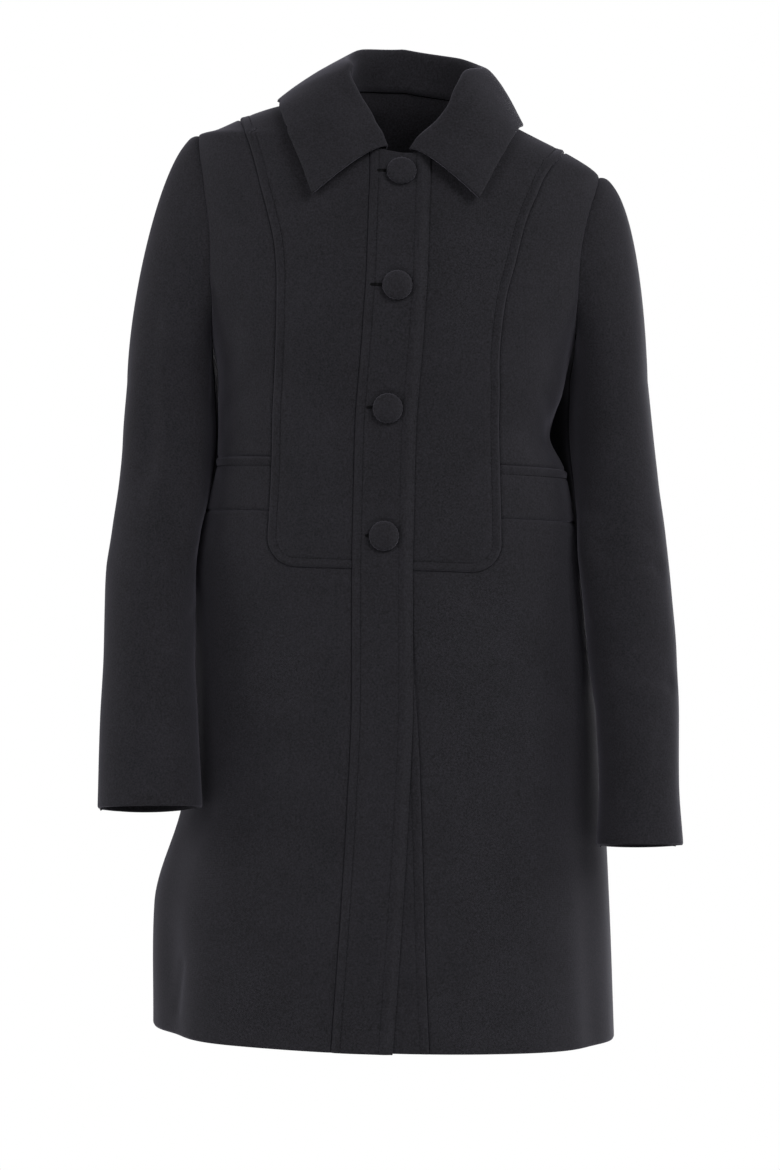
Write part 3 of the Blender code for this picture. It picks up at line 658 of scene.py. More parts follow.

# %% [markdown]
# Cloth of this weight hangs smoothly and breaks only into a few wide, shallow folds: short drags
# where the waist is drawn in, and long soft flutes in the flared skirt. Each is given one by one as
# a line on the form, with its own width and depth, so that no two are alike. A negative depth is a
# trough and a positive one a ridge. The back and sides, which are out of sight, get similar ones.

# %% Folds of the body
BODY_DEGREE = 2.3
DRAPE_COLUMNS = ("turn", "drop", "end_turn", "end_drop", "half_width", "depth")
BODY_DRAPE = (
    (58, 262, 76, 292, 9, -1.8),
    (54, 318, 74, 309, 8, -1.4),
    (92, 256, 88, 278, 18, -4.0),
    (-50, 270, -70, 292, 11, -1.4),
    (-52, 318, -72, 308, 9, -1.0),
    (-50, 190, -62, 250, 12, -0.9),
    (46, 180, 60, 236, 12, -0.9),
    (-75, 470, -66, 800, 16, -1.6),
    (-34, 560, -38, 850, 20, 1.2),
    (-16, 600, -18, 850, 18, -1.0),
    (40, 560, 44, 850, 20, 1.3),
    (56, 500, 62, 840, 17, -1.5),
    (28, 620, 30, 850, 18, -1.0),
    (24, 440, 50, 530, 18, -2.8),
    (-56.5, 788, -60.5, 831, 6, -1.2),
    (118, 230, 140, 300, 14, -3.2),
    (-118, 236, -144, 306, 13, -3.0),
    (128, 320, 160, 300, 12, -2.7),
    (-130, 322, -158, 304, 12, -2.8),
    (170, 470, 164, 850, 22, 4.6),
    (-150, 500, -160, 850, 20, -4.8),
    (120, 480, 126, 850, 18, -4.0),
    (-118, 520, -126, 850, 20, 3.8),
    (138, 110, 150, 200, 18, -2.4),
    (-138, 110, -150, 205, 18, -2.6),
)


def draped(folds, turn, drop, degree):
    """Millimetres that folds move cloth out, where one degree round is so many millimetres."""
    total = np.zeros_like(drop)
    for fold in each_row(DRAPE_COLUMNS, folds):
        across = turn_from(turn, fold["turn"]) * degree
        down = drop - fold["drop"]
        way_across = (fold["end_turn"] - fold["turn"]) * degree
        way_down = fold["end_drop"] - fold["drop"]
        share = (across * way_across + down * way_down) / (way_across ** 2 + way_down ** 2)
        share = np.clip(share, 0, 1)
        gap = np.hypot(across - share * way_across, down - share * way_down)
        total = total + fold["depth"] * bell(gap, fold["half_width"])
    return total


def drape(angle, drop):
    """Millimetres that the folds move the body's cloth out."""
    return draped(BODY_DRAPE, angle, drop, BODY_DEGREE)


print(len(BODY_DRAPE), "folds on the body")

# %% [markdown]
# The fronts: on each side a bib from the shoulder to below the waist, a side front, a short inset
# waistband and a flared skirt. Each piece is laid out between its own seams. The bib and the top of
# the waistband carry welts, and what lies beside them is pressed below. An edge along several seams
# lists each with its share of the grid.

# %% Body panels
PANEL_SIZE = {
    "bib": (90, 440),
    "side_front": (70, 320),
    "waistband": (85, 48),
    "skirt_front": (230, 440),
    "back": (360, 900),
}


def lifted(points, outward, height):
    """Points moved out by heights in millimetres."""
    return points + outward * (height * MM)[..., None]


def panel(name, grid, seams, lift=0.0):
    """Make a piece that lies on the body, lifted in millimetres where it covers another."""
    angle, drop = grid[..., 0], grid[..., 1]
    smooth = body(angle, drop)
    outward = body_outward(angle, drop)
    base = lifted(smooth, outward, lift + drape(angle, drop))
    relief = np.zeros_like(drop)
    for profile, paths in seams.items():
        for path in paths:
            relief = relief + profile(distances(smooth, body(path[:, 0], path[:, 1])))
    wall(name, lifted(base, outward, relief), base - outward * CLOTH)


def make_front(side):
    """Bib, side front, waistband and skirt of one front."""
    word = WORD[side]
    flank = side * math.pi / 2
    bodice, waist, rounded, bottom = bib_seam(side)
    seam_out = PLACKET_SEAM[side]
    neck_turn, neck_drop = neck_meets(seam_out)
    neck = neck_place(np.linspace(side * 90, neck_turn, DENSE))
    inner = down_front(seam_out, neck_drop, BIB_FOOT)
    shoulder = upright(flank, NECK_POINT, BIB_TOP)
    under = {lapped: [from_neck(free_edge, HEM)]} if side == LEFT else {}
    edges = {
        "top": shoulder,
        "foot": bottom[::-1],
        "start": ((neck, 7), (inner, 12)),
        "end": ((bodice, 13), (waist, 2), (rounded, 4)),
    }
    grid = lay_out(edges, *PANEL_SIZE["bib"], PLAIN_EDGES | {"foot": "fine", "end": "fine"})
    whole = np.concatenate((bodice, waist, rounded, bottom))
    panel("bib_" + word, grid, {welted: [whole], pressed: [inner, shoulder]} | under)

    shoulder = upright(flank, BIB_TOP, SHOULDER_TIP)
    scye = armhole(side, np.linspace(0, math.pi, DENSE))
    side_seam = upright(flank, ARMPIT[side], BAND_TOP)
    band_top = level(bodice[-1, 0], flank, BAND_TOP)
    edges = {"top": shoulder, "foot": band_top, "start": bodice, "end": ((scye, 9), (side_seam, 4))}
    grid = lay_out(edges, *PANEL_SIZE["side_front"])
    seams = {pressed: [bodice, shoulder, side_seam, band_top], set_in: [scye]}
    panel("side_front_" + word, grid, seams)

    band_foot = level(waist[-1, 0], flank, BAND_FOOT)
    side_seam = upright(flank, BAND_TOP, BAND_FOOT)
    edges = {"top": band_top, "foot": band_foot, "start": waist, "end": side_seam}
    grid = lay_out(edges, *PANEL_SIZE["waistband"], PLAIN_EDGES | {"top": "fine"})
    panel("waistband_" + word, grid, {welted: [band_top], pressed: [waist, side_seam, band_foot]})

    hem_drop = HEM if side == RIGHT else UNDERLAP_HEM
    inner = down_front(seam_out, BIB_FOOT, hem_drop)
    hem = level(inner[-1, 0], flank, hem_drop)
    side_seam = upright(flank, BAND_FOOT, hem_drop)
    edges = {
        "top": ((bottom[::-1], 6), (rounded[::-1], 4), (band_foot, 6)),
        "foot": hem,
        "start": inner,
        "end": side_seam,
    }
    grid = lay_out(edges, *PANEL_SIZE["skirt_front"])
    whole = np.concatenate((bottom[::-1], rounded[::-1], band_foot))
    panel("skirt_front_" + word, grid, {pressed: [whole, inner, side_seam], turned: [hem]} | under)


for side in (RIGHT, LEFT):
    make_front(side)

# %% [markdown]
# The back is one plain piece, from side seam to side seam, and the shoulder and armhole edges run
# down its sides. It is laid out as the fronts are, so its folds and seams meet theirs. Two halves
# with a centre seam are as common, but nothing in the front tells of one, so the plainer cut is made.

# %% Back
def make_back():
    """Back from the neck seam to the hem."""
    flanks = {LEFT: math.pi / 2, RIGHT: 3 * math.pi / 2}
    neck = neck_place(np.linspace(90, 270, DENSE))
    hem = level(flanks[LEFT], flanks[RIGHT], HEM)
    seams = {pressed: [neck], turned: [hem], set_in: []}
    sides = {}
    for side, flank in flanks.items():
        scye = armhole(side, np.linspace(math.tau, math.pi, DENSE))
        scye[:, 0] = scye[:, 0] % math.tau
        shoulder = upright(flank, NECK_POINT, SHOULDER_TIP)
        side_seam = upright(flank, ARMPIT[side], HEM)
        sides[side] = ((shoulder, 4), (scye, 9), (side_seam, 15))
        seams[pressed] += [shoulder, side_seam]
        seams[set_in].append(scye)
    edges = {"top": neck, "foot": hem, "start": sides[LEFT], "end": sides[RIGHT]}
    panel("back", lay_out(edges, *PANEL_SIZE["back"]), seams)


make_back()

# %% [markdown]
# The plackets are long straps down the front. The right one lies on top: it rises from its seam
# over the layer below, and both its long edges are topstitched. The left one lies underneath and
# shows only where the coat falls open below the last button. Columns that follow the strap's two
# edges keep the topstitching parallel to them.

# %% Plackets
LAYER = 2.7
OVERLAP_RISE_END = -19
UNDERLAP_WIDTH = 40
PLACKET_LENGTH = 800
PLACKET_GRID = 1.6
FREE_WELT = 12.5
FREE_GROOVE = 0.3
FREE_GROOVE_WIDTH = 1.8
FREE_RIDGE = 1.0
FREE_RIDGE_AT = 8.0
FREE_RIDGE_WIDTH = 4.5
FREE_ROLL = 1.8
FREE_ROLL_WIDTH = 5.0
FLAT_SHARE = 0.55
RIM_POINTS = 90
BUTTON_DROPS = (73, 177, 285, 399)
BUTTON_RADIUS = 13.5


def edge_stitched(distance):
    """Turned edge with a row of stitches along it."""
    ridge = FREE_RIDGE * bell(distance, FREE_RIDGE_WIDTH, FREE_RIDGE_AT)
    roll = FREE_ROLL * bell(distance, FREE_ROLL_WIDTH)
    return ridge - roll - FREE_GROOVE * bell(distance, FREE_GROOVE_WIDTH, FREE_WELT)


def flat_welt(distance):
    """Lower welt of the placket that has to lie flat under another."""
    return FLAT_SHARE * welted(distance)


def button_rim(drop):
    """Path on the placket along the rim of a button."""
    turn = np.linspace(0, math.tau, RIM_POINTS)
    rim_drop = drop + BUTTON_RADIUS * np.sin(turn)
    return places(angle_at(BUTTON_RADIUS * np.cos(turn), rim_drop), rim_drop)


def strap(name, outs, foot, profiles, extra, coarse=COARSE, lift=0.0):
    """Make a strap down the front, with a grid column for each way out and a profile for each edge."""
    downs = spread(PLACKET_LENGTH, "plain", "plain", coarse)
    columns = []
    for out_at in outs:
        top = neck_meets(out_at)[1]
        drop = top + (foot - top) * downs
        columns.append(places(angle_at(out_at(drop), drop), drop))
    grid = np.stack(columns, axis=1)
    start, end = (from_neck(out_at, foot) for out_at in (outs[0], outs[-1]))
    seams = {turned: [level(start[-1, 0], end[-1, 0], foot)]} | extra
    for profile, path in zip(profiles, (start, end)):
        seams[profile] = seams.get(profile, []) + [path]
    panel(name, grid, seams, np.broadcast_to(lift, grid.shape[:2]))


# Cloth drawn down round a button by its shank.
pulled_in = dip(depth=1.2, width=2.2)
width = OVERLAP_EDGE - OVERLAP_SEAM
ways = OVERLAP_SEAM + width * spread(width, "fine", "fine", PLACKET_GRID)
outs = [straight(way) for way in ways]
lift = LAYER * soft_step((ways - OVERLAP_SEAM) / (OVERLAP_RISE_END - OVERLAP_SEAM))
rims = {pulled_in: [button_rim(drop) for drop in BUTTON_DROPS]}
strap("placket_right", outs, HEM, (welted, edge_stitched), rims, PLACKET_GRID, lift)

shares = UNDERLAP_WIDTH * (spread(UNDERLAP_WIDTH, "plain", "fine") - 1)
outs = [lambda drop, share=share: underlap_out(drop) + share for share in shares]
strap("placket_left", outs, UNDERLAP_HEM, (turned, flat_welt), {lapped: [from_neck(free_edge, HEM)]})

# %% [markdown]
# A sleeve is a bent tube with a soft head. Rings along the arm give the tube, each with its middle,
# its two half sizes and a tuck on the side of the body, and a smooth blend from the armhole gives the
# head. A curve with a bevel would make a tube as well, but not one that starts from the armhole seam.

# %% Form of the sleeves
SLEEVE_COLUMNS = ("drop", "x", "y", "half_width", "half_depth", "tuck")
SLEEVE_RINGS = {
    RIGHT: (
        (256, -212, 4, 39, 61, 19),
        (310, -213, 4, 42, 59, 19),
        (355, -216, -4, 42, 57, 9),
        (400, -223, -20, 40, 54, 4),
        (450, -226.5, -40, 41.5, 51, 0),
        (500, -226.5, -54, 41.5, 49, 0),
        (560, -226, -69, 44, 48, 0),
        (641, -224, -86, 47, 47, 0),
    ),
    LEFT: (
        (256, 193, 4, 35, 61, 18),
        (300, 195.5, 4, 37, 59, 34),
        (355, 199, -2, 39, 57, 15),
        (400, 203.5, -16, 39.5, 54, 9),
        (450, 206.5, -33, 40.5, 51, 0),
        (500, 210.5, -43, 40.5, 49, 0),
        (560, 214.5, -56, 37.5, 47, 0),
        (620, 215, -68, 36, 46, 0),
        (675, 215, -78, 39, 45, 0),
    ),
}
SLEEVE_DENTS = {
    RIGHT: (
        (138, 300, 24, 42, 5),
        (70, 330, 18, 60, -5),
        (198, 388, 24, 46, -7),
        (142, 392, 24, 40, 8),
        (250, 520, 45, 22, -4),
    ),
    LEFT: (
        (200, 372, 24, 46, -5),
        (147, 410, 26, 38, 8),
        (60, 520, 45, 22, -4),
        (255, 470, 45, 24, -4),
    ),
}
CAP_REACH = (48, 42)
CAP_FALL = (130, 108)
CAP_DIP = 10
TUCK_TURN = 228
TUCK_HALF_TURN = 32
AXIS_STEP = 2
OVERRUN = 0.1
SLEEVE = {side: table(SLEEVE_COLUMNS, rows) for side, rows in SLEEVE_RINGS.items()}


def sleeve_size(side, name, drop):
    """One column of a sleeve's table at drops along it."""
    return through(SLEEVE[side]["drop"], SLEEVE[side][name], drop)


def sleeve_axis(side, drop):
    """Middle of the sleeve at drops along it."""
    return np.stack((sleeve_size(side, "x", drop), sleeve_size(side, "y", drop), -drop), axis=-1) * MM


def sleeve_way(side, drop):
    """Direction in which the sleeve runs down."""
    return unit(sleeve_axis(side, drop + AXIS_STEP) - sleeve_axis(side, drop - AXIS_STEP))


def sleeve_ring(side, turn, drop):
    """Points on the rings below the upper arm."""
    axis = sleeve_way(side, drop)
    outer = np.array((side, 0, 0))
    outer = unit(outer - axis * np.sum(axis * outer, axis=-1, keepdims=True))
    fore = side * np.cross(axis, outer)
    dent = dented(SLEEVE_DENTS[side], turn, drop)
    wide = (sleeve_size(side, "half_width", drop) + dent) * np.cos(turn)
    deep = (sleeve_size(side, "half_depth", drop) + dent) * np.sin(turn)
    tuck = sleeve_size(side, "tuck", drop) * bell(turn_from(turn, TUCK_TURN), TUCK_HALF_TURN)
    return lifted(lifted(sleeve_axis(side, drop), outer, wide - tuck), fore, deep)


def sleeve_surface(side):
    """Sleeve as a surface of turn and way: 0 to 1 over the head, 1 to 2 down the arm."""
    first, last = SLEEVE[side]["drop"][[0, -1]]

    def surface(turn, way):
        turn, way = floats(turn, way)
        scye = armhole(side, turn)
        start = body(scye[..., 0], scye[..., 1])
        out = np.array((side, 0, 0)) * MM
        drop = np.maximum(first, first + (last - first) * (way - 1))
        ring = sleeve_ring(side, turn, drop)
        axis = sleeve_way(side, drop) * MM
        swing = np.cos(turn)[..., None]
        leave = out * (CAP_REACH[0] + CAP_REACH[1] * swing)
        leave = leave - np.array((0, 0, CAP_DIP)) * MM * np.maximum(0, -swing)
        arrive = axis * (CAP_FALL[0] + CAP_FALL[1] * swing)
        t = np.clip(way, -OVERRUN, 1)[..., None]
        near = start * (1 + 2 * t) + leave * t
        far = ring * (3 - 2 * t) - arrive * (1 - t)
        return np.where(way[..., None] < 1, near * (1 - t) ** 2 + far * t ** 2, ring)

    return surface


print("cuffs end at drops:", {WORD[side]: int(SLEEVE[side]["drop"][-1]) for side in (RIGHT, LEFT)})

# %% [markdown]
# A set-in sleeve has a little extra cloth eased into the armhole, so its head stands in a soft roll
# before it falls. Its creases run across the inner elbow and down the upper arm, and they are placed
# one by one as the body's folds are. A cloth simulation would crease by itself, but not where this
# coat does. The one seam runs under the arm, where the grid of the tube closes.

# %% Sleeves
SLEEVE_ROUND = 310
HEAD_LENGTH = 190
ARM_LENGTH = 410
SLEEVE_DEGREE = 0.85
TURN_STEP = 0.02
WAY_STEP = 0.001
EASE_RISE = 0.6
EASE_AT = 7
EASE_WIDTH = 5
EASE_LEAST = 0.2
UNDERARM_SHARE = 0.6
SLEEVE_DRAPE = {
    RIGHT: (
        (66, 190, 74, 330, 11, -1.6),
        (148, 232, 148, 258, 10, 3.6),
        (150, 430, 80, 452, 8, -1.6),
        (165, 470, 100, 500, 9, -1.8),
        (150, 400, 100, 412, 8, 1.0),
        (40, 250, 20, 420, 16, 1.2),
        (220, 300, 280, 360, 12, -2.6),
        (200, 450, 290, 440, 9, -2.8),
        (210, 500, 300, 520, 10, -2.4),
        (110, 540, 70, 630, 12, -1.0),
    ),
    LEFT: (
        (120, 412, 50, 424, 9, -2.8),
        (140, 372, 60, 392, 9, -1.2),
        (110, 516, 40, 528, 9, -2.6),
        (150, 468, 90, 480, 8, 1.0),
        (80, 180, 84, 330, 14, -1.3),
        (220, 320, 290, 372, 12, -2.6),
        (210, 440, 300, 452, 9, -2.8),
        (205, 560, 290, 548, 10, -2.2),
        (60, 570, 80, 660, 12, -1.0),
    ),
}


def make_sleeve(side):
    """Sleeve from the armhole to the cuff, with its seam under the arm."""
    surface = sleeve_surface(side)
    turns = math.pi + math.tau * spread(SLEEVE_ROUND, "plain", "plain")
    head = spread(HEAD_LENGTH, "plain", "none")
    arm = 1 + spread(ARM_LENGTH, "none", "plain")
    turn, way = np.meshgrid(turns, np.concatenate((head, arm[1:])))
    outward = outward_of(surface, turn, np.minimum(way, 2 - WAY_STEP), TURN_STEP, WAY_STEP) * -side
    smooth = surface(turn, way)
    from_armhole = distances(smooth, smooth[0])
    from_cuff = distances(smooth, smooth[-1])
    from_seam = np.abs(turn_from(turn, 180)) * SLEEVE_DEGREE
    ease = EASE_RISE * bell(from_armhole, EASE_WIDTH, EASE_AT) * np.maximum(EASE_LEAST, np.cos(turn))
    relief = set_in(from_armhole) + ease + turned(from_cuff) + UNDERARM_SHARE * pressed(from_seam)
    base = lifted(smooth, outward, draped(SLEEVE_DRAPE[side], turn, -smooth[..., 2] / MM, SLEEVE_DEGREE))
    wall("sleeve_" + WORD[side], lifted(base, outward, relief), base - outward * CLOTH, tube=True)


for side in (RIGHT, LEFT):
    make_sleeve(side)

# %% [markdown]
# The collar is cut in one with its stand. It rises inside the neck, rolls over and falls outside to
# two points. A flat shape bent by a modifier would not hold the roll, so each section round the neck
# is a smooth curve from the neck seam over the roll line to the outer edge.

# %% Form of the collar
COLLAR_COLUMNS = ("turn", "rise", "lean", "inward", "sweep", "edge_angle", "edge_drop", "clear")
COLLAR_SECTIONS = {
    RIGHT: (
        (10.5, 3.5, 2, 0.5, 15, 21.2, 101, 9.0),
        (20, 14, 6, 6.5, 9, 26.0, 69, 8.0),
        (32, 20, 10, 9, 2, 31.7, 46, 6.5),
        (36, 21.6, 10.6, 8.8, 0, 35.7, 41, 6.0),
        (42, 24, 11.5, 7.5, 0, 40.1, 34.5, 5.3),
        (48, 26, 12, 6, 0, 44.8, 29, 4.8),
        (66, 30, 12, 2, 0, 62, 17.5, 3.6),
        (90, 35, 11, 0, 0, 90, 12.5, 3.0),
        (130, 37, 9, 0, 0, 133, 9, 3.0),
        (180, 38, 9, 0, 0, 180, 6, 3.0),
    ),
    LEFT: (
        (10.5, 3.5, 1, 6, 14, 19.4, 96, 9.0),
        (20, 14, 3, 8.5, 8, 23.8, 66, 8.0),
        (32, 20, 4, 8, 1, 28.4, 45, 6.5),
        (40, 23.5, 3.5, 5.5, 0, 33.4, 36, 5.6),
        (48, 27, 3, 3, 0, 39.3, 29, 4.8),
        (66, 34, 3, 0, 0, 59, 17.5, 3.6),
        (90, 39, 4, 0, 0, 90, 11.5, 3.0),
        (130, 38.5, 8, 0, 0, 133, 9, 3.0),
        (180, 38, 9, 0, 0, 180, 6, 3.0),
    ),
}
COLLAR_GAP = 1.1
COLLAR_ROLL = 5
STAND_PULL = 0.5
ROLL_PULL = 1.5
FALL_REACH = 24
FALL_BELLY = 7
COLLAR = {side: table(COLLAR_COLUMNS, rows) for side, rows in COLLAR_SECTIONS.items()}


def bend(p, a, b, q, t):
    """Smooth curve from p to q that leaves towards a and arrives from b."""
    return p * (1 - t) ** 3 + a * 3 * t * (1 - t) ** 2 + b * 3 * t ** 2 * (1 - t) + q * t ** 3


def collar_size(name, turn):
    """One column of the collar's table at turns round the neck, in degrees."""
    reading = np.where(turn > 180, 360 - turn, turn)
    right, left = (through(COLLAR[key]["turn"], COLLAR[key][name], reading) for key in (RIGHT, LEFT))
    return np.where(turn > 180, right, left)


def collar_surface(turn, way):
    """Collar at turns round the neck, in degrees. Way is 0 to 1 up the stand and 1 to 2 down the fall."""
    turn, way = floats(turn, way)
    side = np.where(turn > 180, RIGHT, LEFT)
    row = {name: collar_size(name, turn) for name in COLLAR_COLUMNS[1:]}
    neck = neck_place(turn) - (0, COLLAR_GAP)
    outward = body_outward(neck[..., 0], neck[..., 1])
    base = body(neck[..., 0], neck[..., 1]) - outward * CLOTH
    out = unit(outward * (1, 1, 0))
    up = np.array((0, 0, 1.0))
    scale = {name: (row[name] * MM)[..., None] for name in ("rise", "lean", "inward", "sweep", "clear")}
    roll = COLLAR_ROLL * MM
    aside = np.cross(up, out) * side[..., None]
    crest = base + up * scale["rise"] + out * (roll - scale["lean"]) - aside * scale["inward"]
    edge_angle = side * np.radians(row["edge_angle"])
    edge_outward = body_outward(edge_angle, row["edge_drop"])
    foot = body(edge_angle, row["edge_drop"]) + edge_outward * scale["clear"]
    t = np.clip(way, -OVERRUN, 1)[..., None]
    stand = bend(base, base + up * scale["rise"] * STAND_PULL, crest - out * roll, crest, t)
    t = np.clip(way - 1, 0, 1 + OVERRUN)[..., None]
    above = foot + (unit(crest - foot) * FALL_REACH + edge_outward * FALL_BELLY) * MM
    leave = crest + out * roll * ROLL_PULL + aside * scale["sweep"]
    fall = bend(crest, leave, above, foot, t)
    return np.where(way[..., None] < 1, stand, fall)


print("collar points at drops:", {WORD[side]: int(COLLAR[side]["edge_drop"][0]) for side in (RIGHT, LEFT)})

# %% [markdown]
# The fall of a collar is two layers of cloth turned out together, so it is thicker than the stand and
# its edge is rolled on both sides. The second layer could be a piece of its own, but it never shows
# apart from the first, so the wall is made thicker there instead.

# %% Collar
COLLAR_ROUND = 420
STAND_HEIGHT = 36
FALL_LENGTH = 80
COLLAR_TURN_STEP = 0.5
COLLAR_WAY_STEP = 0.01
COLLAR_DOUBLED = 4.0
DOUBLING_START = 1.1
DOUBLING_SPAN = 0.4
UNDER_GAP = 0.8


def make_collar():
    """Collar with its stand inside and its pointed fall outside."""
    first = COLLAR[LEFT]["turn"][0]
    turns = first + (360 - 2 * first) * spread(COLLAR_ROUND, "fine", "fine")
    stand = spread(STAND_HEIGHT, "none", "none")
    ways = np.concatenate((stand, 1 + spread(FALL_LENGTH, "none", "fine")[1:]))
    turn, way = np.meshgrid(turns, ways)
    smooth = collar_surface(turn, way)
    outward = -outward_of(collar_surface, turn, way, COLLAR_TURN_STEP, COLLAR_WAY_STEP)
    fall = np.searchsorted(ways, 1)
    rim = np.concatenate((smooth[fall:, 0], smooth[-1, 1:-1], smooth[fall:, -1][::-1]))
    relief = turned(distances(smooth, rim))
    on_fall = soft_step((way - DOUBLING_START) / DOUBLING_SPAN)
    doubled = np.minimum(COLLAR_DOUBLED, collar_size("clear", turn) - UNDER_GAP) * on_fall
    under = np.maximum(CLOTH / MM, doubled) + relief * on_fall
    wall("collar", lifted(smooth, outward, relief), lifted(smooth, outward, -under))


make_collar()

# %% [markdown]
# The buttons are metal or plastic domes with a disc of the coat's own cloth gathered over them. The
# top is smooth and stretched, and towards the rim the cloth puckers where it is drawn under. Each
# is turned from a short profile, with the puckers added as small uneven waves, and then set square
# to the placket. A Screw modifier could turn the profile, but not pucker it.

# %% Covered buttons
BUTTON_HEIGHT = 7.5
BUTTON_RIM = 1.6
BUTTON_GAP = 0.4
BUTTON_RINGS = 26
BUTTON_STEPS = 96
DOME_POWER = 0.8
PUCKERS = 23
PUCKER_DEPTH = 0.22
PUCKER_FALL = 0.6
PUCKER_START = 0.72
DRIFT = 1.4
DRIFT_WAVES = 3
# Melton drawn tight over a dome: the coat's own black, a touch smoother where it is stretched.
COVERED = wool("black_wool_button_cover", dark="#070709", light="#201f24", roughness=0.88, sheen=0.15)


def make_button(number, drop):
    """Dome with gathered cloth, from its crown over the rim to the middle of its flat back."""
    turn = np.radians(np.linspace(0, 90, BUTTON_RINGS))
    radius = np.concatenate((np.sin(turn) * BUTTON_RADIUS, (BUTTON_RADIUS - BUTTON_RIM, 0.0)))
    dome = BUTTON_RIM + (BUTTON_HEIGHT - BUTTON_RIM) * np.cos(turn) ** DOME_POWER
    height = np.concatenate((dome, (0.0, 0.0)))
    around = np.linspace(0, math.tau, BUTTON_STEPS, endpoint=False)
    wave = np.cos(PUCKERS * around + DRIFT * np.sin(DRIFT_WAVES * around + number))
    near_rim = soft_step((radius / BUTTON_RADIUS - PUCKER_START) / (1 - PUCKER_START)) * (height > 0)
    pucker = PUCKER_DEPTH * near_rim[:, None] * (1 + wave)
    outward = body_outward(0.0, drop)
    across = unit(np.cross((0, 0, 1.0), outward))
    up = np.cross(outward, across)
    spot = body(0.0, drop) + outward * (LAYER + BUTTON_GAP) * MM
    spokes = np.cos(around)[None, :, None] * across + np.sin(around)[None, :, None] * up
    points = lifted(spot, spokes, np.maximum(radius[:, None] - pucker, 0))
    points = lifted(points, outward, height[:, None] - PUCKER_FALL * pucker)
    corners = np.concatenate((points[1:-1].reshape(-1, 3), points[[0, -1], 0]))
    crown, back = len(corners) - 2, len(corners) - 1
    ring = np.arange(crown).reshape(-1, BUTTON_STEPS)
    after = np.roll(ring, -1, axis=1)
    faces = np.stack((ring[:-1], ring[1:], after[1:], after[:-1]), axis=-1).reshape(-1, 4).tolist()
    for column in range(BUTTON_STEPS):
        faces.append([crown, int(ring[0, column]), int(after[0, column])])
        faces.append([back, int(after[-1, column]), int(ring[-1, column])])
    flat = np.stack(((corners - spot) @ across, (corners - spot) @ up), axis=-1)
    make_piece(f"button_{number}", corners, faces, flat[np.concatenate(faces)], COVERED)


for number, drop in enumerate(BUTTON_DROPS, start=1):
    make_button(number, drop)
print("buttons:", len(BUTTON_DROPS), "of", 2 * BUTTON_RADIUS, "mm")

# %% [markdown]
# Topstitching is a row of even lockstitches in black thread, 8 mm from the seam. Each stitch is a
# short bead of thread that sinks a little into the cloth. One bead is made once, and Geometry Nodes
# set a copy at every step along a path. Each path carries two vectors, the way a stitch points and
# the way up from the cloth, so the same tree can also sew the buttonholes, whose threads lie across
# their path.

# %% Thread and the sewing tree
PLY = 0.5 * MM
BEAD_SIZES = ("Step", "Bead Length", "Bead Width", "Bead Height")


def thread(name, dark, light):
    """Twisted sewing thread, smoother than the wool round it."""
    material, tree, shader = new_material(name, {"Roughness": 0.85, "Specular IOR Level": 0.1})
    where = add_node(tree, "ShaderNodeTexCoord").outputs
    ply = add_node(tree, "ShaderNodeTexNoise", {"Scale": 1 / PLY}, Vector=where["Object"])
    shade = add_node(tree, "ShaderNodeValToRGB", Fac=ply.outputs["Fac"])
    for element, colour in zip(shade.color_ramp.elements, (dark, light)):
        element.color = linear(colour)
    tree.links.new(shade.outputs["Color"], shader.inputs["Base Color"])
    return material


# Polyester sewing thread: as dark as the cloth, without its bloom, so rows show as fine dots.
THREAD = thread("black_polyester_thread", "#0c0c0e", "#1a1a1d")
# Buttonhole twist: the darkest thing on the coat, painted shade that stands in for the shadow inside the
# slit, so a buttonhole reads as a thin black line.
TWIST_WITH_SLIT_SHADE = thread("buttonhole_twist_with_painted_slit_shade", "#040405", "#0a0a0b")


